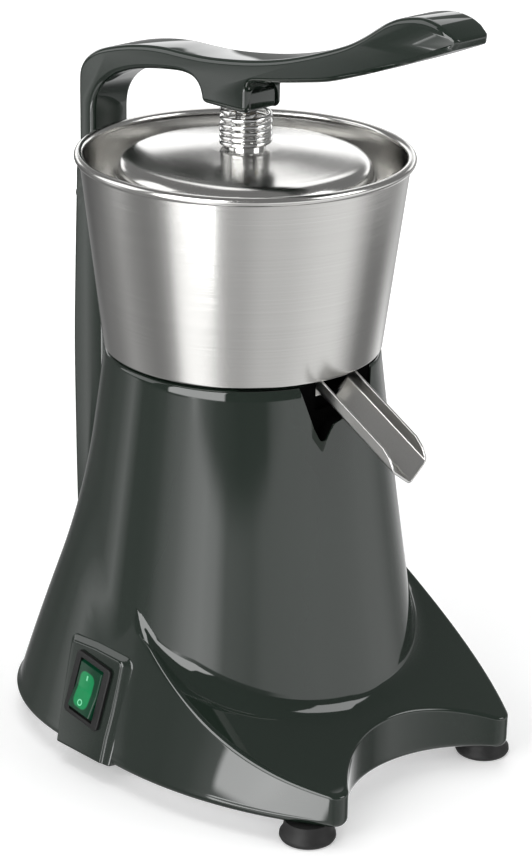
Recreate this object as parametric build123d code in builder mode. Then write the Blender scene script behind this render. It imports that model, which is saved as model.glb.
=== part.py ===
"""Motor-driven lever juice press. Millimetres, +Z up, floor at z = 0, reamer axis on x = y = 0,
spout and lever grip towards -Y, rocker switch towards -X."""

import math
import os

from build123d import *

os.makedirs("parts", exist_ok=True)

# Clearances
slip = 0.05            # curved fit between pieces of one body, on the radius
run_gap = 0.05         # running fit of a pin or shaft, on the radius
play = 0.2             # flat sliding faces
loose = 0.4            # drop-in fit of sheet pieces
plate_gap = 1.2        # base plate inside the cast skirt

# Feet and base plate
foot_height = 10.0
foot_base_radius = 13.4
foot_top_radius = 11.0
foot_front_x = 61.7
foot_front_y = -110.1
foot_rear_x = 62.0
foot_rear_y = 70.0
plate_thickness = 2.0
vent_count = 10
vent_ring_radius = 34.0
vent_length = 16.0
vent_width = 4.0

# Cast housing
wall = 4.0
base_half_width = 96.0
side_start_y = -15.0
prong_x = 62.5
prong_y = -124.0
prong_tip_radius = 6.5
arch_radius = 66.8
arch_center_y = -168.3
rear_reach = 113.0
rear_center_y = 10.0
rear_exponent = 2.4
side_lean_full = 13.7
side_lean_power = 1.3
rear_lean_slope = 0.395
skirt_top_z = 106.0
skirt_levels = 6
deck_tip_y = -128.0
deck_tip_z = 24.8
deck_mid_y = -70.0
deck_mid_z = 46.6
deck_end_y = -16.0
deck_end_z = 82.0
trunk_low_z = 30.0
trunk_low_radius = 91.4
trunk_mid_z = 130.0
trunk_mid_radius = 75.6
trunk_top_z = 199.5
trunk_top_radius = 66.3
cup_depth = 9.5
bulkhead_thickness = 6.0
notch_half_width = 20.0
notch_depth = 34.0
notch_back_y = -58.0
notch_wall = 3.0
boss_radius = 5.5

# Switch panel
panel_lean = 10.5
panel_front_y = -9.0
panel_rear_y = 25.0
panel_top_z = 63.0
panel_proud = 2.6
panel_edge = 1.6

# Rocker switch
switch_y = 8.0
switch_z = 42.6
switch_turn = 8.0
bezel_width = 25.6
bezel_height = 33.6
bezel_proud = 2.0
switch_body_width = 22.0
switch_body_height = 30.0
switch_depth = 22.0
rocker_width = 18.6
rocker_radius = 13.7
rocker_gap = 0.35
rocker_axis_depth = 4.0
rocker_tilt = 10.0
rocker_axle_diameter = 3.0
axle_end_wall = 0.5
bezel_corner = 2.0
terminal_width = 6.3
terminal_length = 9.0
terminal_thickness = 0.8

# Rear pillar and lever hinge
pillar_half_width = 14.0
pillar_front_y = 85.0
pillar_foot_z = 26.0
pillar_rear_mid_y = 109.0
pillar_rear_mid_z = 165.0
pillar_rear_foot_y = 107.0
well_floor = 6.0
pivot_y = 95.5
pivot_drop = 27.8
cheek_radius = 10.5
fork_half_width = 7.0
fork_depth = 15.0
hinge_pin_diameter = 8.0
hinge_bush_diameter = 11.0
hinge_bush_length = 5.0
stop_pin_diameter = 5.0
tail_half_depth = 4.5
tail_length = 12.5
stop_pin_drop = 10.8

# Lever
lever_half_width = 12.0
lever_relief_radius = 14.0
tongue_radius = 9.5
column_front_y = 94.5
column_rear_y = 105.0
column_top_rise = 18.2
crest_rises = [
    (92.0, 34.8),
    (46.5, 44.2),
    (17.8, 45.1),
    (-35.0, 53.5),
    (-84.1, 72.8),
    (-101.7, 83.0),
    (-117.0, 86.2),
    (-126.7, 84.6),
]
grip_top_rise = (-133.5, 81.1)
grip_nose_rise = (-136.3, 78.2)
grip_under_rise = (-134.5, 75.3)
boss_neck = 3.0
underside_rises = [(-97.9, 60.6), (-61.4, 47.8), (-30.5, 41.2)]
arch_rises = [(32.0, 35.1), (69.7, 28.8)]
corner_rise = (88.0, 20.2)
column_front_rise = 5.2
boss_bottom_rise = 23.2
boss_front_y = -11.5
boss_rear_y = 18.5
boss_cover_width = 13.0
boss_cover_height = 9.0
boss_cover_depth = 2.0
boss_cover_lift = 2.0
pin_end_wall = 3.0

# Press head
stem_diameter = 10.0
stem_top_rise = 32.7
stem_collar_diameter = 18.0
stem_collar_height = 1.5
stem_bore_rise = 40.7
stem_bush_diameter = 14.0
stem_bush_length = 11.0
retaining_pin_diameter = 4.0
retaining_pin_rise = 28.2
press_travel = 6.0
dome_radius = 62.0
dome_bead = 1.2
dome_edge_drop = 8.8
dome_height = 12.7
dome_flat_radius = 16.0
dome_shoulder_radius = 57.0
dome_shoulder_height = 7.8
dome_sheet = 1.2
stem_nut_flats = 16.0
stem_nut_height = 6.5
stem_end = 1.0
stem_washer_diameter = 24.0
stem_washer_thickness = 1.5
spring_outer_diameter = 25.0
spring_wire = 2.2
spring_close_turns = 3.0
spring_open_turns = 2.5
spring_close_gap = 0.5
spring_seat_gap = 0.3

# Bowl, spout and strainer
bowl_rim_radius = 80.0
bowl_bead = 2.2
bowl_height = 92.2
bowl_foot_radius = 66.7
bowl_foot_gap = 1.1
bowl_sheet = 1.0
cup_radius = 60.0
collar_radius = 14.2
collar_height = 24.0
collar_bore_radius = 13.0
spout_half_width = 11.6
spout_wall = 6.5
spout_depth = 15.2
spout_crease = 2.0
spout_corner = 6.0
spout_sheet = 1.2
spout_slope = 28.3
spout_reach = 110.6
spout_rise = 3.0
strainer_drop = 26.8
strainer_flange_inner = 62.0
strainer_depth = 52.0
strainer_floor_radius = 52.0
strainer_bore_radius = 16.0
strainer_slot_count = 24
strainer_slot_width = 2.4
strainer_slot_inner = 22.0
strainer_slot_outer = 46.0

# Motor
shaft_diameter = 12.0
shaft_tail = 13.0
shaft_reach = 10.0
stator_radius = 54.0
stator_bore = 28.0
stator_height = 46.0
air_gap = 0.4
rotor_overhang = 2.0
bell_plate = 14.0
bell_skirt = 20.0
bell_rim = 6.5
bell_bore_gap = 1.0
bearing_bore = 12.0
bearing_outer = 32.0
bearing_width = 10.0
bearing_ring = 2.6
bearing_balls = 8
winding_inner = 31.0
winding_outer = 45.0
winding_height = 13.0
tie_bolt_diameter = 4.0
tie_bolt_ring = 50.6
mount_screw_diameter = 5.0
mount_screw_ring = 36.0
mount_screw_length = 14.0
fan_radius = 40.0
fan_height = 8.0
fan_blades = 9
fan_blade_thickness = 1.8
fan_hub_radius = 10.0
fan_lift = 1.0
fan_sweep = 15.0
seal_outer = 22.0
seal_height = 5.0

# Reamer
reamer_base_radius = 39.0
reamer_lift = 8.0
reamer_base_height = 4.0
reamer_height = 52.0
reamer_hub_radius = 11.0
reamer_hub_length = 16.0
reamer_flute_count = 8
reamer_flute_radius = 9.0
reamer_flute_rise = 6.0
reamer_flute_drop = 12.0
reamer_flute_foot_cut = 2.5
reamer_flute_head_cut = 1.5
reamer_flute_reach = 30.0
reamer_waist_share = 0.62
reamer_ledge = 2.5
drive_pin_diameter = 4.0
drive_pin_length = 20.0
drive_pin_lift = 6.0
shaft_end_gap = 1.0

# Electrical pieces in the base
capacitor_diameter = 30.0
capacitor_length = 56.0
capacitor_y = -58.0
capacitor_edge = 2.0
clip_width = 12.0
clip_sheet = 1.2
clip_foot = 9.0
terminal_block_length = 36.0
terminal_block_width = 18.0
terminal_block_height = 16.0
terminal_block_x = 40.0
terminal_block_y = -12.0
gland_x = 44.0
gland_z = 25.0
gland_setback = 7.0
gland_block_depth = 18.0
gland_bore = 7.0
gland_thread = 12.0
gland_flange = 19.0
gland_cap_length = 8.0
gland_cap_taper = 12.0
gland_flange_step = 2.0
gland_thread_end = 2.0
gland_flange_thickness = 3.0
gland_nut_flats = 18.0
gland_block_edge = 1.0
gland_nut_thickness = 5.0

# Screws
foot_screw_diameter = 5.0
foot_screw_head = 9.0
foot_screw_head_height = 3.5
foot_screw_seat = 5.0
foot_screw_reach = 14.0
pillar_screw_diameter = 6.0
pillar_screw_head = 10.0
pillar_screw_head_height = 4.0
pillar_screw_reach = 22.0
pillar_screw_pitch = 10.0
pillar_screw_inset = 9.0
grub_diameter = 4.0

# Stations worked out from the sizes above
base_z = foot_height
plate_top_z = base_z + plate_thickness
bulkhead_top_z = trunk_top_z - cup_depth
bulkhead_bottom_z = bulkhead_top_z - bulkhead_thickness
bowl_foot_z = trunk_top_z + bowl_foot_gap
bowl_rim_z = bowl_foot_z + bowl_height
spout_top_z = trunk_top_z + spout_rise
collar_top_z = bulkhead_top_z + collar_height
strainer_flange_z = bowl_rim_z - strainer_drop
strainer_floor_z = strainer_flange_z - strainer_depth
reamer_base_z = strainer_floor_z + reamer_lift
reamer_top_z = reamer_base_z + reamer_height
reamer_hub_bottom_z = reamer_base_z - reamer_hub_length
drive_pin_z = reamer_hub_bottom_z + drive_pin_lift
shaft_top_z = reamer_base_z + shaft_reach
dome_edge_z = bowl_rim_z - dome_edge_drop
dome_top_z = dome_edge_z + dome_height
dome_shoulder_z = dome_edge_z + dome_shoulder_height
pivot_z = bowl_rim_z - pivot_drop
column_top_z = bowl_rim_z + column_top_rise
column_front_top_z = bowl_rim_z + column_front_rise
boss_bottom_z = bowl_rim_z + boss_bottom_rise
stem_top_z = bowl_rim_z + stem_top_rise
stem_bore_top_z = bowl_rim_z + stem_bore_rise
retaining_pin_z = bowl_rim_z + retaining_pin_rise
gland_face_y = rear_reach - gland_setback
gland_inner_y = gland_face_y - gland_block_depth


def above_rim(y, rise):
    """Point of the lever's outline, from its height over the bowl's rim."""
    return y, bowl_rim_z + rise


lever_crest = [above_rim(*point) for point in crest_rises]
grip_top = above_rim(*grip_top_rise)
grip_nose = above_rim(*grip_nose_rise)
grip_under = above_rim(*grip_under_rise)
lever_underside = [above_rim(*point) for point in underside_rises]
inner_arch = [above_rim(*point) for point in arch_rises]
inner_corner = above_rim(*corner_rise)
skirt_rise = deck_end_z - base_z
pillar_middle_y = (pillar_front_y + pillar_rear_foot_y) / 2
pillar_screw_y = pillar_front_y + pillar_screw_inset
well_floor_z = pillar_foot_z - well_floor
panel_foot_x = -base_half_width - panel_proud
panel_middle_x = panel_foot_x + math.tan(math.radians(panel_lean)) * (switch_z - base_z)
upper_bell_top_z = bulkhead_bottom_z
stator_top_z = upper_bell_top_z - bell_plate - bell_skirt
stator_bottom_z = stator_top_z - stator_height
lower_bell_bottom_z = stator_bottom_z - bell_skirt - bell_plate
shaft_bottom_z = lower_bell_bottom_z - shaft_tail
stem_seat_z = dome_top_z
foot_places = [
    (foot_front_x, foot_front_y),
    (-foot_front_x, foot_front_y),
    (foot_rear_x, foot_rear_y),
    (-foot_rear_x, foot_rear_y),
]
panel_plane = Plane(
    origin=(panel_middle_x, switch_y, switch_z),
    x_dir=(
        -math.sin(math.radians(panel_lean)) * math.sin(math.radians(switch_turn)),
        -math.cos(math.radians(switch_turn)),
        -math.cos(math.radians(panel_lean)) * math.sin(math.radians(switch_turn)),
    ),
    z_dir=(-math.cos(math.radians(panel_lean)), 0, math.sin(math.radians(panel_lean))),
)


def keep(piece, name):
    """Name a finished piece and write its STEP file."""
    piece.part.label = name
    export_step(piece.part, f"parts/{name}.step")


def deck_height(y):
    """Height of the deck over the prongs, a parabola through its three stations."""
    first = (deck_mid_z - deck_tip_z) / (deck_mid_y - deck_tip_y)
    second = (deck_end_z - deck_mid_z) / (deck_end_y - deck_mid_y)
    bend = (second - first) / (deck_end_y - deck_tip_y)
    return deck_tip_z + first * (y - deck_tip_y) + bend * (y - deck_tip_y) * (y - deck_mid_y)


def trunk_radius(z):
    """Outer radius of the trunk, a parabola through its three stations."""
    first = (trunk_mid_radius - trunk_low_radius) / (trunk_mid_z - trunk_low_z)
    second = (trunk_top_radius - trunk_mid_radius) / (trunk_top_z - trunk_mid_z)
    bend = (second - first) / (trunk_top_z - trunk_low_z)
    return trunk_low_radius + first * (z - trunk_low_z) + bend * (z - trunk_low_z) * (z - trunk_mid_z)


def bowl_radius(z):
    """Outer radius of the bowl's conical wall."""
    rise = (z - bowl_foot_z) / (bowl_rim_z - bowl_foot_z)
    return bowl_foot_radius + rise * (bowl_rim_radius - bowl_bead - bowl_foot_radius)


def prong_corner(half, inset):
    """Sharp corner where the side arc meets the front arch, with the side arc's radius."""
    depth = side_start_y - prong_y
    drop = half - (prong_x - inset)
    side_radius = (depth ** 2 + drop ** 2) / (2 * drop)
    side_center = Vector(half - side_radius, side_start_y)
    arch_center = Vector(0, arch_center_y)
    reach = arch_radius + inset
    across = arch_center - side_center
    span = across.length
    along = (side_radius ** 2 - reach ** 2 + span ** 2) / (2 * span)
    aside = math.sqrt(side_radius ** 2 - along ** 2)
    unit = across.normalized()
    corner = side_center + unit * along + Vector(-unit.Y, unit.X) * aside
    return corner, side_center, side_radius


def skirt_face(z, inset):
    """Closed plan outline of the skirt at one height, drawn inwards by inset."""
    rise = max(z - base_z, 0)
    half = base_half_width - side_lean_full * (rise / skirt_rise) ** side_lean_power - inset
    reach = rear_reach - rear_lean_slope * rise - inset - rear_center_y
    corner, side_center, side_radius = prong_corner(half, inset)
    start = math.atan2(corner.Y - side_center.Y, corner.X - side_center.X)
    middle = side_center + Vector(math.cos(start / 2), math.sin(start / 2)) * side_radius
    rear = []
    for step in range(7):
        turn = math.pi / 2 * step / 6
        x = half * max(math.cos(turn), 0) ** (2 / rear_exponent)
        rear.append((x, rear_center_y + reach * math.sin(turn) ** (2 / rear_exponent)))
    rear[-1] = (0, rear_center_y + reach)
    left = [(-x, y) for x, y in reversed(rear)]
    with BuildSketch(Plane.XY.offset(z)) as outline:
        with BuildLine():
            ThreePointArc(
                (-corner.X, corner.Y),
                (0, arch_center_y + arch_radius + inset),
                (corner.X, corner.Y),
            )
            ThreePointArc((corner.X, corner.Y), (middle.X, middle.Y), (half, side_start_y))
            Line((half, side_start_y), (half, rear_center_y))
            Spline(*rear, tangents=[(0, 1), (-1, 0)])
            Spline(*left, tangents=[(-1, 0), (0, -1)])
            Line((-half, rear_center_y), (-half, side_start_y))
            ThreePointArc((-half, side_start_y), (-middle.X, middle.Y), (-corner.X, corner.Y))
        make_face()
        fillet(outline.vertices().sort_by(Axis.Y)[:2], prong_tip_radius - inset)
    return outline.sketch


def skirt_form(inset, bottom):
    """Flared skirt with its prongs, cut away above the sloping deck."""
    low_y = prong_y - 5 * wall
    high_y = rear_center_y + wall
    slope = (deck_height(low_y + 1) - deck_height(low_y - 1)) / 2
    bend_y = (low_y + high_y) / 2
    bend_z = deck_height(low_y) + slope * (bend_y - low_y)
    with BuildPart() as form:
        levels = [bottom]
        for step in range(1, skirt_levels):
            levels.append(base_z + (skirt_top_z - base_z) * step / (skirt_levels - 1))
        add([skirt_face(z, inset) for z in levels])
        loft()
        with BuildSketch(Plane.YZ):
            with BuildLine():
                Bezier(
                    (low_y, deck_height(low_y) - inset),
                    (bend_y, bend_z - inset),
                    (high_y, deck_height(high_y) - inset),
                )
                Polyline(
                    (high_y, deck_height(high_y) - inset),
                    (high_y, skirt_top_z + 6 * wall),
                    (low_y, skirt_top_z + 6 * wall),
                    (low_y, deck_height(low_y) - inset),
                )
            make_face()
        extrude(amount=2 * base_half_width, both=True, mode=Mode.SUBTRACT)
    return form.part


def trunk_form(inset, top):
    """Tapering round trunk, drawn inwards by inset and stopped at a height."""
    middle = (trunk_low_z + top) / 2
    with BuildPart() as form:
        with BuildSketch(Plane.XZ):
            with BuildLine():
                ThreePointArc(
                    (trunk_radius(trunk_low_z) - inset, trunk_low_z),
                    (trunk_radius(middle) - inset, middle),
                    (trunk_radius(top) - inset, top),
                )
                Polyline(
                    (trunk_radius(top) - inset, top),
                    (0, top),
                    (0, trunk_low_z),
                    (trunk_radius(trunk_low_z) - inset, trunk_low_z),
                )
            make_face()
        revolve(axis=Axis.Z)
    return form.part


def ring(outer, inner, bottom, top):
    """Plain ring about the reamer axis."""
    with BuildPart() as form:
        with BuildSketch(Plane.XY.offset(bottom)):
            Circle(outer)
            Circle(inner, mode=Mode.SUBTRACT)
        extrude(amount=top - bottom)
    return form.part


# Housing: one casting with the trunk, the flared skirt and its prongs, the bulkhead
# and the well for the pillar
gland_block_radius = gland_flange / 2 + gland_block_edge
with BuildPart() as hollow:
    add(skirt_form(wall, base_z - 1))
    add(trunk_form(wall, bulkhead_bottom_z))
    with Locations(*[(x, y, plate_top_z) for x, y in foot_places]):
        Cylinder(
            boss_radius,
            skirt_top_z,
            align=(Align.CENTER, Align.CENTER, Align.MIN),
            mode=Mode.SUBTRACT,
        )
    with Locations((0, pillar_middle_y, well_floor_z)):
        Box(
            2 * (pillar_half_width + wall),
            pillar_rear_mid_y - pillar_front_y + 4 * wall,
            trunk_top_z,
            align=(Align.CENTER, Align.CENTER, Align.MIN),
            mode=Mode.SUBTRACT,
        )
    with BuildSketch(Plane.XZ.offset(-notch_back_y - notch_wall)):
        with Locations((0, trunk_top_z)):
            Ellipse(notch_half_width + notch_wall, notch_depth + notch_wall)
    extrude(amount=trunk_mid_radius, mode=Mode.SUBTRACT)
    with BuildSketch(Plane.XZ.offset(-gland_inner_y)):
        with Locations((gland_x, gland_z)):
            Circle(gland_block_radius)
    extrude(amount=-rear_reach, mode=Mode.SUBTRACT)

with BuildPart() as switch_panel:
    with BuildSketch(panel_plane):
        with Locations((switch_y - (panel_front_y + panel_rear_y) / 2, panel_top_z - switch_z)):
            Rectangle(panel_rear_y - panel_front_y, panel_top_z, align=(Align.CENTER, Align.MAX))
    extrude(amount=-3 * wall)
    chamfer(switch_panel.faces().sort_by(Axis.X)[0].edges(), panel_edge)

with BuildPart() as housing:
    add(skirt_form(0, base_z))
    add(trunk_form(0, trunk_top_z))
    with BuildSketch(Plane.XZ.offset(-gland_inner_y)):
        with Locations((gland_x, gland_z)):
            Circle(gland_block_radius)
    extrude(amount=gland_inner_y - gland_face_y)
    add(switch_panel.part)
    with Locations((0, 0, base_z)):
        Box(
            3 * rear_reach,
            3 * rear_reach,
            6 * wall,
            align=(Align.CENTER, Align.CENTER, Align.MAX),
            mode=Mode.SUBTRACT,
        )
    add(hollow.part, mode=Mode.SUBTRACT)
    with BuildSketch(Plane.XY.offset(bulkhead_top_z)):
        Circle(cup_radius + loose)
    extrude(amount=trunk_top_z, mode=Mode.SUBTRACT)
    with BuildSketch(Plane.XZ.offset(-notch_back_y)):
        with Locations((0, trunk_top_z)):
            Ellipse(notch_half_width, notch_depth)
    extrude(amount=trunk_mid_radius, mode=Mode.SUBTRACT)
    with Locations((0, notch_back_y, bulkhead_top_z)):
        Box(
            2 * notch_half_width,
            4 * wall,
            trunk_top_z,
            align=(Align.CENTER, Align.CENTER, Align.MIN),
            mode=Mode.SUBTRACT,
        )
    with Locations((0, 0, bulkhead_bottom_z)):
        Cylinder(
            seal_outer / 2 + slip,
            2 * bulkhead_thickness,
            align=(Align.CENTER, Align.CENTER, Align.MIN),
            mode=Mode.SUBTRACT,
        )
    with PolarLocations(mount_screw_ring, 4, start_angle=45):
        with Locations((0, 0, bulkhead_top_z)):
            CounterSinkHole(
                mount_screw_diameter / 2 + slip,
                mount_screw_diameter + slip,
                depth=2 * bulkhead_thickness,
                counter_sink_angle=90,
            )
    with BuildSketch(Plane.XY.offset(pillar_foot_z)):
        with Locations((0, (pillar_front_y + pillar_rear_mid_y) / 2)):
            Rectangle(2 * (pillar_half_width + slip), pillar_rear_mid_y - pillar_front_y + 2 * slip)
    extrude(amount=trunk_mid_z, mode=Mode.SUBTRACT)
    with Locations(
        (0, pillar_screw_y - pillar_screw_pitch / 2, pillar_foot_z),
        (0, pillar_screw_y + pillar_screw_pitch / 2, pillar_foot_z),
    ):
        Hole(pillar_screw_diameter / 2 + slip, depth=well_floor + 1)
    with Locations(*[(x, y, plate_top_z) for x, y in foot_places]):
        Cylinder(
            foot_screw_diameter / 2 + slip,
            foot_screw_reach + 1,
            align=(Align.CENTER, Align.CENTER, Align.MIN),
            mode=Mode.SUBTRACT,
        )
    with BuildSketch(Plane.XZ.offset(-gland_inner_y + 1)):
        with Locations((gland_x, gland_z)):
            Circle(gland_thread / 2 + slip)
    extrude(amount=-rear_reach, mode=Mode.SUBTRACT)
    with BuildSketch(panel_plane):
        Rectangle(switch_body_width + 2 * slip, switch_body_height + 2 * slip)
    extrude(amount=-6 * wall, mode=Mode.SUBTRACT)
keep(housing, "housing")

# Base plate with its cooling slots
with BuildPart() as base_plate:
    add(skirt_face(base_z, wall + plate_gap))
    extrude(amount=plate_thickness)
    with BuildSketch(Plane.XY.offset(base_z)):
        with PolarLocations(vent_ring_radius, vent_count):
            SlotOverall(vent_length, vent_width)
        with Locations(*foot_places):
            Circle(foot_screw_diameter / 2 + slip)
    extrude(amount=plate_thickness, mode=Mode.SUBTRACT)
keep(base_plate, "base_plate")

# Rubber feet, each with the recess for its screw
foot_names = ["foot_front_right", "foot_front_left", "foot_rear_right", "foot_rear_left"]
for foot_name, foot_place in zip(foot_names, foot_places):
    with BuildPart() as foot:
        with BuildSketch(Plane.XY.shift_origin((*foot_place, 0))):
            Circle(foot_base_radius)
        with BuildSketch(Plane.XY.shift_origin((*foot_place, 0)).offset(foot_height)):
            Circle(foot_top_radius)
        loft()
        with Locations((*foot_place, foot_height)):
            Hole(foot_screw_diameter / 2 + slip)
        with Locations((*foot_place, 0)):
            Cylinder(
                foot_screw_head / 2 + loose,
                foot_screw_seat,
                align=(Align.CENTER, Align.CENTER, Align.MIN),
                mode=Mode.SUBTRACT,
            )
    keep(foot, foot_name)

# Screws that hold the feet and the base plate
with BuildPart() as foot_screws:
    with Locations(*[(x, y, foot_screw_seat) for x, y in foot_places]):
        Cylinder(
            foot_screw_head / 2,
            foot_screw_head_height,
            align=(Align.CENTER, Align.CENTER, Align.MAX),
        )
        Cylinder(
            foot_screw_diameter / 2,
            plate_top_z + foot_screw_reach - foot_screw_seat,
            align=(Align.CENTER, Align.CENTER, Align.MIN),
        )
keep(foot_screws, "foot_screws")

# Rear pillar, a bowed post whose forked head carries the lever
with BuildPart() as rear_pillar:
    with BuildSketch(Plane.YZ):
        with BuildLine():
            Polyline(
                (pillar_rear_foot_y, pillar_foot_z),
                (pillar_front_y, pillar_foot_z),
                (pillar_front_y, pivot_z),
            )
            ThreePointArc(
                (pillar_front_y, pivot_z),
                (pivot_y, pivot_z + cheek_radius),
                (pivot_y + cheek_radius, pivot_z),
            )
            ThreePointArc(
                (pivot_y + cheek_radius, pivot_z),
                (pillar_rear_mid_y, pillar_rear_mid_z),
                (pillar_rear_foot_y, pillar_foot_z),
            )
        make_face()
    extrude(amount=pillar_half_width, both=True)
    with Locations((0, pivot_y, pivot_z - fork_depth)):
        Box(
            2 * fork_half_width,
            4 * cheek_radius,
            4 * cheek_radius,
            align=(Align.CENTER, Align.CENTER, Align.MIN),
            mode=Mode.SUBTRACT,
        )
    stop_pin_y = pivot_y + tail_half_depth + stop_pin_diameter / 2 + run_gap
    stop_pin_z = pivot_z - stop_pin_drop
    with BuildSketch(Plane.YZ):
        with Locations((pivot_y, pivot_z)):
            Circle(hinge_pin_diameter / 2 + slip)
        with Locations((stop_pin_y, stop_pin_z)):
            Circle(stop_pin_diameter / 2 + slip)
    extrude(amount=2 * pillar_half_width, both=True, mode=Mode.SUBTRACT)
    grub_x = (fork_half_width + pillar_half_width) / 2
    with BuildSketch(Plane.XZ.offset(-pivot_y)):
        with Locations((grub_x, pivot_z)):
            Circle(grub_diameter / 2 + slip)
    extrude(amount=2 * cheek_radius, mode=Mode.SUBTRACT)
    with Locations(
        (0, pillar_screw_y - pillar_screw_pitch / 2, pillar_foot_z),
        (0, pillar_screw_y + pillar_screw_pitch / 2, pillar_foot_z),
    ):
        Cylinder(
            pillar_screw_diameter / 2 + slip,
            pillar_screw_reach + 1,
            align=(Align.CENTER, Align.CENTER, Align.MIN),
            mode=Mode.SUBTRACT,
        )
keep(rear_pillar, "rear_pillar")

with BuildPart() as pillar_screws:
    with Locations(
        (0, pillar_screw_y - pillar_screw_pitch / 2, well_floor_z),
        (0, pillar_screw_y + pillar_screw_pitch / 2, well_floor_z),
    ):
        Cylinder(
            pillar_screw_head / 2,
            pillar_screw_head_height,
            align=(Align.CENTER, Align.CENTER, Align.MAX),
        )
        Cylinder(
            pillar_screw_diameter / 2,
            well_floor + pillar_screw_reach,
            align=(Align.CENTER, Align.CENTER, Align.MIN),
        )
keep(pillar_screws, "pillar_screws")

with BuildPart() as hinge_pin:
    with BuildSketch(Plane.YZ):
        with Locations((pivot_y, pivot_z)):
            Circle(hinge_pin_diameter / 2)
    extrude(amount=pillar_half_width, both=True)
keep(hinge_pin, "hinge_pin")

with BuildPart() as stop_pin:
    with BuildSketch(Plane.YZ):
        with Locations((stop_pin_y, stop_pin_z)):
            Circle(stop_pin_diameter / 2)
    extrude(amount=pillar_half_width, both=True)
keep(stop_pin, "stop_pin")

grub_length = pivot_y - hinge_pin_diameter / 2 - run_gap - pillar_front_y
with BuildPart() as hinge_grub_screw:
    with BuildSketch(Plane.XZ.offset(-pillar_front_y)):
        with Locations((grub_x, pivot_z)):
            Circle(grub_diameter / 2)
            RegularPolygon(grub_diameter / 4, 6, mode=Mode.SUBTRACT)
    extrude(amount=-grub_length / 2)
    with BuildSketch(Plane.XZ.offset(-pillar_front_y - grub_length / 2)):
        with Locations((grub_x, pivot_z)):
            Circle(grub_diameter / 2)
    extrude(amount=-grub_length / 2)
keep(hinge_grub_screw, "hinge_grub_screw")

# Lever: rear column, arched arm, boss over the press head and the raised grip
with BuildPart() as lever_arm:
    with BuildSketch(Plane.YZ):
        with BuildLine():
            Line((column_rear_y, pivot_z), (column_rear_y, column_top_z))
            TangentArc((column_rear_y, column_top_z), lever_crest[0], tangent=(0, 1))
            Spline(*lever_crest, grip_top)
            ThreePointArc(grip_top, grip_nose, grip_under)
            Spline(grip_under, *lever_underside, (boss_front_y, lever_underside[-1][1] - boss_neck))
            Polyline(
                (boss_front_y, lever_underside[-1][1] - boss_neck),
                (boss_front_y, boss_bottom_z),
                (boss_rear_y, boss_bottom_z),
            )
            TangentArc((boss_rear_y, boss_bottom_z), inner_arch[0], tangent=(0, 1))
            Line(inner_arch[0], inner_arch[1])
            ThreePointArc(inner_arch[1], inner_corner, (column_front_y, column_front_top_z))
            Polyline(
                (column_front_y, column_front_top_z),
                (column_front_y, pivot_z),
                (column_rear_y, pivot_z),
            )
        make_face()
    extrude(amount=lever_half_width, both=True)
    with BuildSketch(Plane.YZ):
        with Locations((pivot_y, pivot_z)):
            Circle(lever_relief_radius)
    extrude(amount=2 * lever_half_width, both=True, mode=Mode.SUBTRACT)
    tongue_half_width = fork_half_width - play
    with BuildSketch(Plane.YZ):
        with Locations((pivot_y, pivot_z)):
            Circle(tongue_radius)
        with Locations((pivot_y, pivot_z)):
            Rectangle(2 * tail_half_depth, tail_length, align=(Align.CENTER, Align.MAX))
        with Locations((column_front_y, pivot_z)):
            Rectangle(
                column_rear_y - column_front_y,
                2 * lever_relief_radius,
                align=(Align.MIN, Align.MIN),
            )
    extrude(amount=tongue_half_width, both=True)
    with BuildSketch(Plane.YZ):
        with Locations((pivot_y, pivot_z)):
            Circle(hinge_bush_diameter / 2 + slip)
    extrude(amount=lever_half_width, both=True, mode=Mode.SUBTRACT)
    with Locations((0, 0, boss_bottom_z)):
        Cylinder(
            stem_bush_diameter / 2 + slip,
            stem_bush_length,
            align=(Align.CENTER, Align.CENTER, Align.MIN),
            mode=Mode.SUBTRACT,
        )
        Cylinder(
            stem_diameter / 2 + play,
            stem_bore_top_z - boss_bottom_z,
            align=(Align.CENTER, Align.CENTER, Align.MIN),
            mode=Mode.SUBTRACT,
        )
    with BuildSketch(Plane.XZ.offset(-boss_front_y)):
        with Locations((0, boss_bottom_z + boss_cover_lift)):
            Rectangle(boss_cover_width, boss_cover_height, align=(Align.CENTER, Align.MIN))
    extrude(amount=-boss_cover_depth, mode=Mode.SUBTRACT)
    with BuildSketch(Plane.XZ.offset(-boss_front_y)):
        with Locations((0, retaining_pin_z)):
            Circle(retaining_pin_diameter / 2 + slip)
    extrude(amount=boss_front_y - boss_rear_y + pin_end_wall, mode=Mode.SUBTRACT)
keep(lever_arm, "lever_arm")

with BuildPart() as hinge_bushes:
    with BuildSketch(Plane.YZ.offset(tongue_half_width)):
        with Locations((pivot_y, pivot_z)):
            Circle(hinge_bush_diameter / 2)
            Circle(hinge_pin_diameter / 2 + run_gap, mode=Mode.SUBTRACT)
    extrude(amount=-hinge_bush_length)
    mirror(about=Plane.YZ)
keep(hinge_bushes, "hinge_bushes")

with BuildPart() as stem_bush:
    with BuildSketch(Plane.XY.offset(boss_bottom_z)):
        Circle(stem_bush_diameter / 2)
        Circle(stem_diameter / 2 + run_gap, mode=Mode.SUBTRACT)
    extrude(amount=stem_bush_length)
    with BuildSketch(Plane.XZ.offset(-boss_front_y)):
        with Locations((0, retaining_pin_z)):
            Circle(retaining_pin_diameter / 2 + slip)
    extrude(amount=2 * boss_front_y, mode=Mode.SUBTRACT)
keep(stem_bush, "stem_bush")

retaining_pin_length = boss_rear_y - boss_front_y - boss_cover_depth - pin_end_wall - loose
with BuildPart() as retaining_pin:
    with BuildSketch(Plane.XZ.offset(-boss_front_y - boss_cover_depth)):
        with Locations((0, retaining_pin_z)):
            Circle(retaining_pin_diameter / 2)
    extrude(amount=-retaining_pin_length)
keep(retaining_pin, "retaining_pin")

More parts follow.
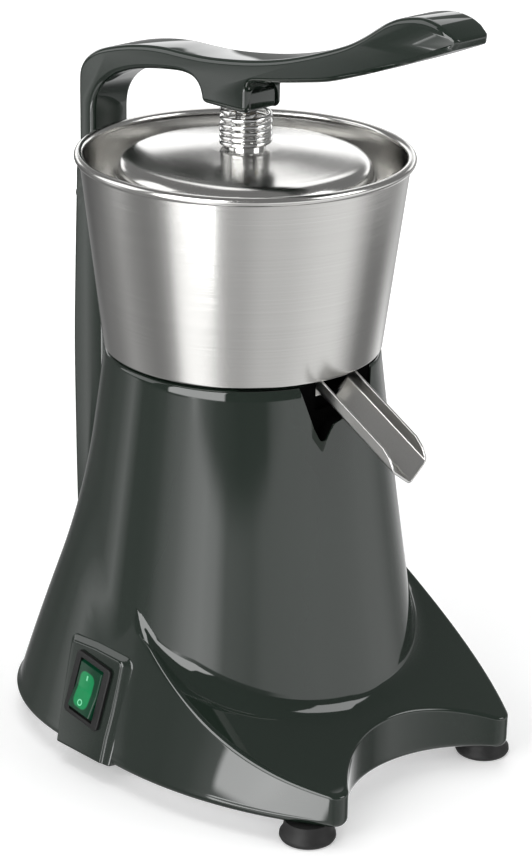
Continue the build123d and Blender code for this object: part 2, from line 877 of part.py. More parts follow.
with BuildPart() as boss_cover:
    with BuildSketch(Plane.XZ.offset(-boss_front_y)):
        with Locations((0, boss_bottom_z + boss_cover_lift + slip)):
            Rectangle(
                boss_cover_width - 2 * slip,
                boss_cover_height - 2 * slip,
                align=(Align.CENTER, Align.MIN),
            )
    extrude(amount=-boss_cover_depth)
keep(boss_cover, "boss_cover")

# Press head: spun dome on a sliding stem, held by a nut and pushed down by the coil spring
with BuildPart() as press_dome:
    with BuildSketch(Plane.XZ):
        with BuildLine() as dome_line:
            Line((stem_diameter / 2 + slip, dome_top_z), (dome_flat_radius, dome_top_z))
            TangentArc(
                (dome_flat_radius, dome_top_z),
                (dome_shoulder_radius, dome_shoulder_z),
                tangent=(1, 0),
            )
            TangentArc(
                (dome_shoulder_radius, dome_shoulder_z),
                (dome_radius - dome_bead, dome_edge_z),
                tangent=dome_line.edges()[-1] % 1,
            )
            offset(amount=-dome_sheet, side=Side.RIGHT)
        make_face()
        with Locations((dome_radius - dome_bead, dome_edge_z)):
            Circle(dome_bead)
    revolve(axis=Axis.Z)
keep(press_dome, "press_dome")

stem_bottom_z = dome_top_z - dome_sheet - stem_washer_thickness - stem_nut_height - stem_end
slot_low_z = retaining_pin_z - retaining_pin_diameter / 2 - press_travel - play
slot_high_z = retaining_pin_z + retaining_pin_diameter / 2 + run_gap
with BuildPart() as press_stem:
    with BuildSketch(Plane.XY.offset(stem_bottom_z)):
        Circle(stem_diameter / 2)
    extrude(amount=stem_top_z - stem_bottom_z)
    with BuildSketch(Plane.XY.offset(stem_seat_z)):
        Circle(stem_collar_diameter / 2)
    extrude(amount=stem_collar_height)
    with Locations((0, 0, (slot_low_z + slot_high_z) / 2)):
        Box(
            retaining_pin_diameter + 2 * play,
            2 * stem_diameter,
            slot_high_z - slot_low_z,
            mode=Mode.SUBTRACT,
        )
keep(press_stem, "press_stem")

washer_top_z = dome_top_z - dome_sheet
with BuildPart() as stem_washer:
    with BuildSketch(Plane.XY.offset(washer_top_z)):
        Circle(stem_washer_diameter / 2)
        Circle(stem_diameter / 2 + slip, mode=Mode.SUBTRACT)
    extrude(amount=-stem_washer_thickness)
keep(stem_washer, "stem_washer")

with BuildPart() as stem_nut:
    with BuildSketch(Plane.XY.offset(washer_top_z - stem_washer_thickness)):
        RegularPolygon(stem_nut_flats / 2, 6, major_radius=False)
        Circle(stem_diameter / 2 + slip, mode=Mode.SUBTRACT)
    extrude(amount=-stem_nut_height)
keep(stem_nut, "stem_nut")

# Coil spring: close turns below, open turns above, wound as quarter turns of two tangent arcs each
spring_radius = (spring_outer_diameter - spring_wire) / 2
spring_low_z = dome_top_z + spring_seat_gap + spring_wire / 2
spring_high_z = boss_bottom_z - spring_seat_gap - spring_wire / 2
close_pitch = spring_wire + spring_close_gap
open_pitch = (spring_high_z - spring_low_z - close_pitch * spring_close_turns) / spring_open_turns


def spring_height(turns):
    """Height of the wire's middle after a number of turns."""
    close = min(turns, spring_close_turns)
    return spring_low_z + close_pitch * close + open_pitch * (turns - close)


def spring_point(turns):
    """Point on the wire's middle line and its direction there."""
    angle = 2 * math.pi * turns
    pitch = (spring_height(turns + 0.125) - spring_height(turns - 0.125)) * 4
    place = Vector(spring_radius * math.cos(angle), spring_radius * math.sin(angle), spring_height(turns))
    way = Vector(-math.sin(angle), math.cos(angle), pitch / (2 * math.pi * spring_radius))
    return place, way.normalized()


quarters = round(4 * (spring_close_turns + spring_open_turns))
stations = [spring_point(step / 4) for step in range(quarters + 1)]
with BuildPart() as press_spring:
    with BuildLine() as spring_wire_line:
        first_place, first_way = stations[0]
        last_place, last_way = stations[-1]
        Line(first_place - first_way * spring_wire, first_place)
        for (place, way), (next_place, next_way) in zip(stations, stations[1:]):
            across = next_place - place
            ways = way + next_way
            apart = 2 * (1 - way.dot(next_way))
            along = across.dot(ways)
            push = (math.sqrt(along ** 2 + 2 * apart * across.dot(across)) - along) / (2 * apart)
            bend_in = place + way * push
            bend_out = next_place - next_way * push
            meet = (bend_in + bend_out) * 0.5
            TangentArc(place, meet, tangent=way)
            TangentArc(meet, next_place, tangent=bend_out - bend_in)
        Line(last_place, last_place + last_way * spring_wire)
    with BuildSketch(Plane(origin=first_place - first_way * spring_wire, z_dir=first_way)):
        Circle(spring_wire / 2)
    sweep(path=spring_wire_line.wires()[0])
keep(press_spring, "press_spring")
samples = [spring_point(step / 48)[0] for step in range(12 * quarters + 1)]
nearest = min(
    (a - b).length
    for first, a in enumerate(samples)
    for b in samples[first + 24:]
)
print(f"press_spring: least gap between turns {nearest - spring_wire:.2f} mm")

# Bowl: spun steel, conical wall with a rolled rim, shoulder, seated cup and the collar round the shaft
cup_floor_z = bulkhead_top_z
bed_half_width = spout_half_width - spout_sheet
bed_wall = spout_wall - spout_sheet / 2
bed_depth = spout_depth - spout_sheet
port_floor_z = cup_floor_z + bowl_sheet
port_shoulder_z = spout_top_z - bed_wall
port_floor_half = bed_half_width * (port_floor_z - spout_top_z + bed_depth) / (bed_depth - bed_wall)
with BuildPart() as bowl:
    with BuildSketch(Plane.XZ):
        with BuildLine():
            Polyline(
                (bowl_radius(bowl_rim_z), bowl_rim_z),
                (bowl_foot_radius, bowl_foot_z),
                (cup_radius, bowl_foot_z),
                (cup_radius, cup_floor_z),
                (collar_bore_radius, cup_floor_z),
                (collar_bore_radius, collar_top_z),
                (collar_radius, collar_top_z),
                (collar_radius, cup_floor_z + bowl_sheet),
                (cup_radius - bowl_sheet, cup_floor_z + bowl_sheet),
                (cup_radius - bowl_sheet, bowl_foot_z + bowl_sheet),
                (bowl_foot_radius - bowl_sheet, bowl_foot_z + bowl_sheet),
                (bowl_radius(bowl_rim_z) - bowl_sheet, bowl_rim_z),
                close=True,
            )
        make_face()
        with Locations((bowl_rim_radius - bowl_bead, bowl_rim_z)):
            Circle(bowl_bead)
    revolve(axis=Axis.Z)
    with BuildSketch(Plane.XZ.offset(cup_radius)):
        with BuildLine():
            Polyline(
                (-bed_half_width, bowl_foot_z),
                (-bed_half_width, port_shoulder_z),
                (-port_floor_half, port_floor_z),
                (port_floor_half, port_floor_z),
                (bed_half_width, port_shoulder_z),
                (bed_half_width, bowl_foot_z),
                close=True,
            )
        make_face()
    extrude(amount=2 * bowl_sheet, both=True, mode=Mode.SUBTRACT)
keep(bowl, "bowl")

# Spout: sloping steel trough with upright sides and a creased floor, over the notch in the trunk
def trough_line(half_width, wall, depth):
    """Cross-section of the trough, from its top edges down to the crease."""
    return [(-half_width, 0), (-half_width, -wall), (0, -depth), (half_width, -wall), (half_width, 0)]


spout_fall = math.tan(math.radians(spout_slope))
spout_run = (spout_reach - cup_radius + spout_depth) / math.cos(math.radians(spout_slope))
spout_plane = Plane.XZ.offset(cup_radius - spout_depth).shift_origin(
    (0, spout_depth - cup_radius, spout_top_z + spout_fall * spout_depth)
)
spout_way = (0, -math.cos(math.radians(spout_slope)), -math.sin(math.radians(spout_slope)))
with BuildPart() as spout:
    with BuildSketch(spout_plane) as channel:
        with BuildLine():
            Polyline(*trough_line(spout_half_width, spout_wall, spout_depth), close=True)
        make_face()
        fillet(channel.vertices().group_by(Axis.Y)[0], spout_crease + spout_sheet)
    extrude(amount=spout_run, dir=spout_way)
    with BuildSketch(spout_plane) as bed:
        with BuildLine():
            Polyline(*trough_line(bed_half_width, bed_wall, bed_depth), close=True)
        make_face()
        fillet(bed.vertices().group_by(Axis.Y)[0], spout_crease)
    extrude(amount=2 * spout_run, dir=spout_way, mode=Mode.SUBTRACT)
    with Locations((0, 0, cup_floor_z)):
        Cylinder(cup_radius + slip, bowl_rim_z, mode=Mode.SUBTRACT)
    with Locations((0, 0, bowl_foot_z)):
        Cylinder(
            bowl_rim_radius,
            bowl_rim_z,
            align=(Align.CENTER, Align.CENTER, Align.MIN),
            mode=Mode.SUBTRACT,
        )
    beak = spout.edges().filter_by(Axis.X).group_by(Axis.Y)[0]
    fillet(beak.group_by(Axis.Z)[-1], spout_corner)
keep(spout, "spout")

# Strainer basket: flange on the bowl's cone, conical wall, slotted floor
flange_radius = bowl_radius(strainer_flange_z) - bowl_sheet - loose
with BuildPart() as strainer:
    with BuildSketch(Plane.XZ):
        with BuildLine():
            Polyline(
                (flange_radius, strainer_flange_z),
                (strainer_flange_inner, strainer_flange_z),
                (strainer_floor_radius, strainer_floor_z),
                (strainer_bore_radius, strainer_floor_z),
                (strainer_bore_radius, strainer_floor_z - bowl_sheet),
                (strainer_floor_radius + bowl_sheet, strainer_floor_z - bowl_sheet),
                (strainer_flange_inner + bowl_sheet, strainer_flange_z - bowl_sheet),
                (flange_radius, strainer_flange_z - bowl_sheet),
                close=True,
            )
        make_face()
    revolve(axis=Axis.Z)
    with BuildSketch(Plane.XY.offset(strainer_floor_z)):
        with PolarLocations((strainer_slot_inner + strainer_slot_outer) / 2, strainer_slot_count):
            SlotOverall(strainer_slot_outer - strainer_slot_inner, strainer_slot_width)
    extrude(amount=-2 * bowl_sheet, mode=Mode.SUBTRACT)
keep(strainer, "strainer")

# Motor: two bells clamp the stator, four tie bolts hold them, screws hang the motor from the bulkhead
bell_gap_radius = stator_radius - bell_rim


def bell_form(rim_z, away):
    """Motor end bell with its bearing pocket; away is +1 above the stator and -1 below."""
    plate_z = rim_z + away * bell_skirt
    far_z = plate_z + away * bell_plate
    pocket_z = plate_z + away * bearing_width
    with BuildPart() as form:
        with BuildSketch(Plane.XZ):
            with BuildLine():
                Polyline(
                    (stator_radius, rim_z),
                    (stator_radius, far_z),
                    (shaft_diameter / 2 + bell_bore_gap, far_z),
                    (shaft_diameter / 2 + bell_bore_gap, pocket_z),
                    (bearing_outer / 2 + slip, pocket_z),
                    (bearing_outer / 2 + slip, plate_z),
                    (bell_gap_radius, plate_z),
                    (bell_gap_radius, rim_z),
                    close=True,
                )
            make_face()
        revolve(axis=Axis.Z)
        with PolarLocations(tie_bolt_ring, 4):
            with Locations((0, 0, (rim_z + far_z) / 2)):
                Cylinder(tie_bolt_diameter / 2 + slip, 2 * (bell_skirt + bell_plate), mode=Mode.SUBTRACT)
    return form.part


with BuildPart() as motor_upper_bell:
    add(bell_form(stator_top_z, 1))
    with PolarLocations(mount_screw_ring, 4, start_angle=45):
        with Locations((0, 0, upper_bell_top_z)):
            Cylinder(
                mount_screw_diameter / 2 + slip,
                bell_plate,
                align=(Align.CENTER, Align.CENTER, Align.MAX),
                mode=Mode.SUBTRACT,
            )
keep(motor_upper_bell, "motor_upper_bell")

with BuildPart() as motor_lower_bell:
    add(bell_form(stator_bottom_z, -1))
keep(motor_lower_bell, "motor_lower_bell")

with BuildPart() as stator_core:
    add(ring(stator_radius, stator_bore, stator_bottom_z, stator_top_z))
    with PolarLocations(tie_bolt_ring, 4):
        with Locations((0, 0, stator_bottom_z)):
            Cylinder(
                tie_bolt_diameter / 2 + slip,
                2 * (stator_top_z - stator_bottom_z),
                mode=Mode.SUBTRACT,
            )
keep(stator_core, "stator_core")

with BuildPart() as stator_windings:
    for winding_z, away in ((stator_top_z, 1), (stator_bottom_z, -1)):
        with BuildSketch(Plane.XZ):
            with Locations((winding_inner, winding_z)):
                Rectangle(
                    winding_outer - winding_inner,
                    winding_height,
                    align=(Align.MIN, Align.MIN if away > 0 else Align.MAX),
                )
        revolve(axis=Axis.Z)
    ends = stator_windings.edges().filter_by(GeomType.CIRCLE).group_by(Axis.Z)
    fillet(ends[0] + ends[-1], winding_height / 3)
keep(stator_windings, "stator_windings")

tie_bolt_low_z = lower_bell_bottom_z
with BuildPart() as motor_tie_bolts:
    with PolarLocations(tie_bolt_ring, 4):
        with Locations((0, 0, tie_bolt_low_z)):
            Cylinder(
                tie_bolt_diameter / 2,
                stator_top_z + bell_skirt + bell_plate / 2 - tie_bolt_low_z,
                align=(Align.CENTER, Align.CENTER, Align.MIN),
            )
            Cylinder(
                0.8 * tie_bolt_diameter,
                tie_bolt_diameter,
                align=(Align.CENTER, Align.CENTER, Align.MAX),
            )
keep(motor_tie_bolts, "motor_tie_bolts")

with BuildPart() as motor_mount_screws:
    with PolarLocations(mount_screw_ring, 4, start_angle=45):
        with Locations((0, 0, bulkhead_top_z)):
            Cylinder(
                mount_screw_diameter / 2,
                mount_screw_length,
                align=(Align.CENTER, Align.CENTER, Align.MAX),
            )
            Cone(
                mount_screw_diameter / 2,
                mount_screw_diameter - slip,
                mount_screw_diameter / 2 - slip,
                align=(Align.CENTER, Align.CENTER, Align.MAX),
            )
keep(motor_mount_screws, "motor_mount_screws")

# Bearings: outer rings on the stand, inner rings on the shaft, balls between them
upper_bearing_z = stator_top_z + bell_skirt
lower_bearing_z = stator_bottom_z - bell_skirt - bearing_width
bearing_middle = (bearing_outer + bearing_bore) / 4
ball_radius = (bearing_outer - bearing_bore) / 4 - bearing_ring / 2
groove_radius = ball_radius + slip
for place, low_z in (("upper", upper_bearing_z), ("lower", lower_bearing_z)):
    middle_z = low_z + bearing_width / 2
    spans = (
        ("outer_race", bearing_outer / 2, bearing_outer / 2 - bearing_ring),
        ("inner_race", bearing_bore / 2 + bearing_ring, bearing_bore / 2 + slip),
    )
    for race_name, outer, inner in spans:
        with BuildPart() as race:
            add(ring(outer, inner, low_z, low_z + bearing_width))
            with BuildSketch(Plane.XZ):
                with Locations((bearing_middle, middle_z)):
                    Circle(groove_radius)
            revolve(axis=Axis.Z, mode=Mode.SUBTRACT)
        keep(race, f"{place}_bearing_{race_name}")
    with BuildPart() as balls:
        with Locations((0, 0, middle_z)):
            with PolarLocations(bearing_middle, bearing_balls):
                Sphere(ball_radius)
    keep(balls, f"{place}_bearing_balls")

with BuildPart() as shaft_seal:
    add(ring(
        seal_outer / 2,
        shaft_diameter / 2 + run_gap,
        bulkhead_bottom_z,
        bulkhead_bottom_z + seal_height,
    ))
keep(shaft_seal, "shaft_seal")

# Turning pieces
with BuildPart() as drive_shaft:
    with BuildSketch(Plane.XY.offset(shaft_bottom_z)):
        Circle(shaft_diameter / 2)
    extrude(amount=shaft_top_z - shaft_bottom_z)
    chamfer(drive_shaft.faces().sort_by(Axis.Z)[-1].edges(), shaft_diameter / 12)
    with BuildSketch(Plane.XZ):
        with Locations((0, drive_pin_z)):
            Circle(drive_pin_diameter / 2 + slip)
    extrude(amount=shaft_diameter, both=True, mode=Mode.SUBTRACT)
keep(drive_shaft, "drive_shaft")

rotor_low_z = stator_bottom_z - rotor_overhang
rotor_high_z = stator_top_z + rotor_overhang
with BuildPart() as rotor_core:
    add(ring(stator_bore - air_gap, shaft_diameter / 2 + slip, rotor_low_z, rotor_high_z))
keep(rotor_core, "rotor_core")

with BuildPart() as cooling_fan:
    with BuildSketch(Plane.XY.offset(shaft_bottom_z + fan_lift)):
        Circle(fan_radius)
    extrude(amount=fan_blade_thickness)
    with BuildSketch(Plane.XY.offset(shaft_bottom_z + fan_lift)):
        Circle(fan_hub_radius)
        with PolarLocations((fan_hub_radius + fan_radius) / 2 - fan_lift, fan_blades):
            Rectangle(fan_radius - fan_hub_radius, fan_blade_thickness, rotation=fan_sweep)
    extrude(amount=fan_height)
    with BuildSketch(Plane.XY.offset(shaft_bottom_z)):
        Circle(shaft_diameter / 2 + slip)
    extrude(amount=2 * fan_height, mode=Mode.SUBTRACT)
keep(cooling_fan, "cooling_fan")

with BuildPart() as drive_pin:
    with BuildSketch(Plane.XZ):
        with Locations((0, drive_pin_z)):
            Circle(drive_pin_diameter / 2)
    extrude(amount=drive_pin_length / 2, both=True)
keep(drive_pin, "drive_pin")

# Reamer: fluted cone on a hub that drops over the shaft and its drive pin
reamer_foot_z = reamer_base_z + reamer_base_height
cone_waist = (
    reamer_waist_share * reamer_base_radius,
    reamer_foot_z + reamer_waist_share * (reamer_top_z - reamer_foot_z),
)
cone_arc = Edge.make_three_point_arc(
    Vector(reamer_base_radius - reamer_ledge, 0, reamer_foot_z),
    Vector(cone_waist[0], 0, cone_waist[1]),
    Vector(0, 0, reamer_top_z),
)


def flute_point(z, cut):
    """Point on a flute's deepest line, cut below the cone's surface at one height."""
    center = cone_arc.arc_center
    return Vector(center.X + math.sqrt(cone_arc.radius ** 2 - (z - center.Z) ** 2) - cut, 0, z)


flute_foot = flute_point(reamer_foot_z + reamer_flute_rise, reamer_flute_foot_cut)
flute_head = flute_point(reamer_top_z - reamer_flute_drop, reamer_flute_head_cut)
flute_way = (flute_head - flute_foot).normalized()
flute_axis = (flute_foot + flute_head) * 0.5 + Vector(flute_way.Z, 0, -flute_way.X) * reamer_flute_radius
with BuildPart() as reamer_flute:
    with BuildSketch(Plane(origin=flute_axis, z_dir=flute_way)):
        Circle(reamer_flute_radius)
    extrude(amount=reamer_flute_reach, both=True)

with BuildPart() as reamer:
    with BuildSketch(Plane.XZ):
        with BuildLine():
            ThreePointArc(
                (reamer_base_radius - reamer_ledge, reamer_foot_z),
                cone_waist,
                (0, reamer_top_z),
            )
            Polyline(
                (0, reamer_top_z),
                (0, reamer_hub_bottom_z),
                (reamer_hub_radius, reamer_hub_bottom_z),
                (reamer_hub_radius, reamer_base_z),
                (reamer_base_radius, reamer_base_z),
                (reamer_base_radius, reamer_foot_z),
                (reamer_base_radius - reamer_ledge, reamer_foot_z),
            )
        make_face()
    revolve(axis=Axis.Z)
    with PolarLocations(0, reamer_flute_count, start_angle=180 / reamer_flute_count):
        add(reamer_flute.part, mode=Mode.SUBTRACT)
    with BuildSketch(Plane.XY.offset(reamer_hub_bottom_z)):
        Circle(shaft_diameter / 2 + slip)
    extrude(amount=shaft_top_z + shaft_end_gap - reamer_hub_bottom_z, mode=Mode.SUBTRACT)
    with Locations((0, 0, reamer_hub_bottom_z)):
        Box(
            drive_pin_diameter + 2 * slip,
            3 * reamer_hub_radius,
            drive_pin_z + drive_pin_diameter / 2 + slip - reamer_hub_bottom_z,
            align=(Align.CENTER, Align.CENTER, Align.MIN),
            mode=Mode.SUBTRACT,
        )
keep(reamer, "reamer")

# Rocker switch: moulded body with its bezel, rocking key on an axle, terminals behind
key_half_height = rocker_radius + rocker_gap
rocker_pocket_depth = rocker_axis_depth + rocker_radius + rocker_gap
axle_half_length = switch_body_width / 2 - axle_end_wall
rocker_plane = Plane(
    panel_plane.offset(-rocker_axis_depth).origin,
    x_dir=panel_plane.y_dir,
    z_dir=panel_plane.x_dir,
)
with BuildPart() as switch_body:
    with BuildSketch(panel_plane):
        RectangleRounded(bezel_width, bezel_height, bezel_corner)
    extrude(amount=bezel_proud)
    with BuildSketch(panel_plane):
        Rectangle(switch_body_width, switch_body_height)
    extrude(amount=-switch_depth)
    with BuildSketch(panel_plane.offset(bezel_proud)):
        Rectangle(rocker_width + 2 * rocker_gap, 2 * key_half_height)
    extrude(amount=-bezel_proud - rocker_pocket_depth, mode=Mode.SUBTRACT)
    with BuildSketch(rocker_plane):
        Circle(rocker_axle_diameter / 2 + slip)
    extrude(amount=axle_half_length, both=True, mode=Mode.SUBTRACT)
keep(switch_body, "switch_body")

# The key is a round-backed block about its axle, topped by two flats that meet at the axle's line
key_rise = rocker_axis_depth + bezel_proud
flat_drop = rocker_radius * math.tan(math.radians(rocker_tilt))
with BuildPart() as switch_rocker:
    with BuildSketch(rocker_plane):
        Circle(rocker_radius)
        with BuildLine():
            Polyline(
                (-2 * rocker_radius, key_rise + 2 * flat_drop),
                (0, key_rise),
                (2 * rocker_radius, key_rise),
                (2 * rocker_radius, 3 * rocker_radius),
                (-2 * rocker_radius, 3 * rocker_radius),
                close=True,
            )
        make_face(mode=Mode.SUBTRACT)
        Circle(rocker_axle_diameter / 2 + run_gap, mode=Mode.SUBTRACT)
    extrude(amount=rocker_width / 2, both=True)
keep(switch_rocker, "switch_rocker")

with BuildPart() as rocker_axle:
    with BuildSketch(rocker_plane):
        Circle(rocker_axle_diameter / 2)
    extrude(amount=axle_half_length, both=True)
keep(rocker_axle, "rocker_axle")

with BuildPart() as switch_terminals:
    with BuildSketch(panel_plane.offset(-switch_depth)):
        with GridLocations(switch_body_width / 2, switch_body_height / 2, 2, 2):
            Rectangle(terminal_width, terminal_thickness)
    extrude(amount=-terminal_length)
keep(switch_terminals, "switch_terminals")

# Run capacitor under its clip, and the mains terminal block, on the base plate
clip_radius = capacitor_diameter / 2 + slip
capacitor_z = plate_top_z + clip_sheet + clip_radius
with BuildPart() as run_capacitor:
    with BuildSketch(Plane.YZ):
        with Locations((capacitor_y, capacitor_z)):
            Circle(capacitor_diameter / 2)
    extrude(amount=capacitor_length / 2, both=True)
    fillet(run_capacitor.edges().filter_by(GeomType.CIRCLE), capacitor_edge)
keep(run_capacitor, "run_capacitor")

with BuildPart() as capacitor_clip:
    with BuildSketch(Plane.YZ):
        with Locations((capacitor_y, capacitor_z)):
            Circle(clip_radius + clip_sheet)
        with Locations((capacitor_y, plate_top_z)):
            Rectangle(
                2 * (clip_radius + clip_sheet),
                capacitor_z - plate_top_z,
                align=(Align.CENTER, Align.MIN),
            )
            Rectangle(2 * (clip_radius + clip_foot), clip_sheet, align=(Align.CENTER, Align.MIN))
        with Locations((capacitor_y, capacitor_z)):
            Circle(clip_radius, mode=Mode.SUBTRACT)
    extrude(amount=clip_width / 2, both=True)
keep(capacitor_clip, "capacitor_clip")

with BuildPart() as terminal_block:
    with Locations((terminal_block_x, terminal_block_y, plate_top_z)):
        Box(
            terminal_block_width,
            terminal_block_length,
            terminal_block_height,
            align=(Align.CENTER, Align.CENTER, Align.MIN),
        )
    with BuildSketch(Plane.XY.offset(plate_top_z + terminal_block_height)):
        with Locations((terminal_block_x, terminal_block_y)):
            with GridLocations(terminal_block_width / 2, terminal_block_length / 3, 2, 3):
                Circle(terminal_block_width / 8)
    extrude(amount=-terminal_block_height / 2, mode=Mode.SUBTRACT)
keep(terminal_block, "terminal_block")

# Cord gland through the rear wall with its lock nut inside
gland_plane = Plane.XZ.offset(-gland_face_y)
with BuildPart() as cord_gland:
    with BuildSketch(gland_plane):
        with Locations((gland_x, gland_z)):
            Circle(gland_flange / 2)
    extrude(amount=-gland_flange_thickness)
    with BuildSketch(gland_plane.offset(-gland_flange_thickness)):
        with Locations((gland_x, gland_z)):
            Circle(gland_flange / 2 - gland_flange_step)
    extrude(amount=-gland_cap_length, taper=gland_cap_taper)
    with BuildSketch(gland_plane):
        with Locations((gland_x, gland_z)):
            Circle(gland_thread / 2)
    extrude(amount=gland_face_y - gland_inner_y + gland_nut_thickness + gland_thread_end)
    with BuildSketch(gland_plane.offset(gland_face_y)):
        with Locations((gland_x, gland_z)):
            Circle(gland_bore / 2)
    extrude(amount=-2 * rear_reach, mode=Mode.SUBTRACT)
keep(cord_gland, "cord_gland")

with BuildPart() as gland_nut:
    with BuildSketch(Plane.XZ.offset(-gland_inner_y)):
        with Locations((gland_x, gland_z)):
            RegularPolygon(gland_nut_flats / 2, 6, major_radius=False)
            Circle(gland_thread / 2 + slip, mode=Mode.SUBTRACT)
    extrude(amount=gland_nut_thickness)
keep(gland_nut, "gland_nut")
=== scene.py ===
import math

import bmesh
import bpy
import numpy as np
from mathutils import Matrix, Vector


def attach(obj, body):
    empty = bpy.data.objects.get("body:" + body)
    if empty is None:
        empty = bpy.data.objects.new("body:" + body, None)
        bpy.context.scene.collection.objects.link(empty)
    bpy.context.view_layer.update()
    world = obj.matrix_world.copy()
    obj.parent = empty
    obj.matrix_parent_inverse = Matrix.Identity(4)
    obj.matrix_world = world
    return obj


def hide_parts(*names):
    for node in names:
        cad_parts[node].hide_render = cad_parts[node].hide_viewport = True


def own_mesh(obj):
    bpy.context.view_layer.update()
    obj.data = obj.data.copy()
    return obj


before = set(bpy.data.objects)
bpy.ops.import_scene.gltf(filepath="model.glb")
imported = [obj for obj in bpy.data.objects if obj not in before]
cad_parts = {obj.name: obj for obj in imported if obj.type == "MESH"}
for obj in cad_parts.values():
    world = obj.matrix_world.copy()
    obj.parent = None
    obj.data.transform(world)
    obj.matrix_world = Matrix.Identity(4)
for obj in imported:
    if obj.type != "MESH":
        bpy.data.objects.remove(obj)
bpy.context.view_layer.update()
scene = bpy.context.scene
scene.view_settings.view_transform = "Standard"
mm = 0.001
print("frame loaded")


# numbers along a range, eased at both ends
def ease(low, high, x):
    t = np.clip((x - low) / (high - low), 0, 1)
    return t * t * (3 - 2 * t)


# points from a radius, an angle and a height
def polar(radius, way, z):
    return np.stack(np.broadcast_arrays(radius * np.cos(way), radius * np.sin(way), z), -1)


# each row divided by its length
def unit(rows):
    return rows / np.linalg.norm(rows, axis=1)[:, None]


# one smooth curve through a few points: Catmull-Rom, with an end point mirrored on at each end
def smoothLine(points, count):
    p = np.asarray(points, float)
    p = np.vstack([2 * p[0] - p[1], p, 2 * p[-1] - p[-2]])
    step = np.linalg.norm(np.diff(p, axis=0), axis=1) ** 0.5
    knots = np.concatenate([[0], np.cumsum(step)])
    t = np.linspace(knots[1], knots[-2], count)
    k = np.clip(np.searchsorted(knots, t, side="right") - 1, 1, len(p) - 3)
    t0, t1, t2, t3 = (knots[k + n] for n in (-1, 0, 1, 2))
    p0, p1, p2, p3 = (p[k + n] for n in (-1, 0, 1, 2))

    def mix(a, b, ta, tb):
        w = ((t - ta) / (tb - ta))[:, None]
        return a * (1 - w) + b * w

    a1, a2, a3 = mix(p0, p1, t0, t1), mix(p1, p2, t1, t2), mix(p2, p3, t2, t3)
    b1, b2 = mix(a1, a2, t0, t2), mix(a2, a3, t1, t3)
    return mix(b1, b2, t1, t2)


# the same curve with its points at even steps of length
def evenLine(points, count):
    fine = smoothLine(points, 40 * len(points))
    run = np.concatenate([[0], np.cumsum(np.linalg.norm(np.diff(fine, axis=0), axis=1))])
    want = np.linspace(0, run[-1], count)
    return np.stack([np.interp(want, run, fine[:, n]) for n in range(fine.shape[1])], 1)


# a polyline with each corner rounded to its own radius by an arc of a few points
def roundedLine(corners, radii, steps=6):
    p = np.asarray(corners, float)
    out = [p[:1]]
    for before, here, after, radius in zip(p, p[1:], p[2:], radii):
        a, b = before - here, after - here
        a, b = a / np.linalg.norm(a), b / np.linalg.norm(b)
        half = math.acos(np.clip(a @ b, -1, 1)) / 2
        if radius <= 0 or half > math.pi / 2 - 0.02:
            out.append(here[None])
            continue
        reach = radius / math.tan(half)
        middle = here + (a + b) / np.linalg.norm(a + b) * radius / math.sin(half)
        start, end = here + a * reach - middle, here + b * reach - middle
        turn = math.acos(np.clip(start @ end / radius ** 2, -1, 1))
        w = np.linspace(0, 1, steps + 1)[:, None]
        out.append(middle + (np.sin((1 - w) * turn) * start + np.sin(w * turn) * end) / math.sin(turn))
    out.append(p[-1:])
    return np.vstack(out)


# a new object in the scene from a mesh, a lamp or a camera
def linked(name, data):
    made = bpy.data.objects.new(name, data)
    scene.collection.objects.link(made)
    return made


def smoothFaces(mesh):
    mesh.polygons.foreach_set("use_smooth", np.ones(len(mesh.polygons), bool))
    mesh.update()


# a mesh from a grid of points in millimetres, closed along its rows or columns where asked
def gridPiece(name, grid, closeU=False, closeV=False, weld=False, capStart=False, capEnd=False):
    grid = np.asarray(grid, float) * mm
    nu, nv = grid.shape[:2]
    index = np.arange(nu * nv).reshape(nu, nv)
    if closeU:
        index = np.vstack([index, index[:1]])
    if closeV:
        index = np.hstack([index, index[:, :1]])
    quads = np.stack([index[:-1, :-1], index[1:, :-1], index[1:, 1:], index[:-1, 1:]], -1).reshape(-1, 4)
    faces = quads.tolist()
    if capStart:
        faces.append(index[0, :nv][::-1].tolist())
    if capEnd:
        faces.append(index[-1, :nv].tolist())
    mesh = bpy.data.meshes.new(name)
    mesh.from_pydata(grid.reshape(-1, 3).tolist(), [], faces)
    piece = linked(name, mesh)
    tidyMesh(piece, weld)
    return piece


# merge doubled points where a seam or pole closes, and turn the faces outwards
def tidyMesh(piece, weld=True):
    work = bmesh.new()
    work.from_mesh(piece.data)
    if weld:
        bmesh.ops.remove_doubles(work, verts=work.verts, dist=0.004 * mm)
    lids = [face for face in work.faces if len(face.verts) > 4]
    bmesh.ops.triangulate(work, faces=lids, ngon_method="EAR_CLIP")
    bmesh.ops.recalc_face_normals(work, faces=work.faces)
    work.to_mesh(piece.data)
    work.free()
    smoothFaces(piece.data)


# sharp edges stay sharp above an angle
def sharpen(piece, degrees=35):
    piece.data.set_sharp_from_angle(angle=math.radians(degrees))


# a profile of (radius, height) turned about the reamer's axis, or about another point
def turned(name, profile, count=160, middle=(0, 0), closed=False):
    profile = np.asarray(profile, float)
    turn = np.arange(count) / count * 2 * math.pi
    x = middle[0] + np.cos(turn)[:, None] * profile[None, :, 0]
    y = middle[1] + np.sin(turn)[:, None] * profile[None, :, 0]
    z = np.broadcast_to(profile[None, :, 1], x.shape)
    return gridPiece(name, np.stack([x, y, z], -1), closeU=True, closeV=closed, weld=True)


# run a modifier and keep its result in the mesh
def applyModifier(piece, kind, **settings):
    modifier = piece.modifiers.new(kind, kind)
    for key, value in settings.items():
        setattr(modifier, key, value)
    shown = bpy.data.meshes.new_from_object(piece.evaluated_get(bpy.context.evaluated_depsgraph_get()))
    piece.modifiers.clear()
    old = piece.data
    piece.data = shown
    bpy.data.meshes.remove(old)


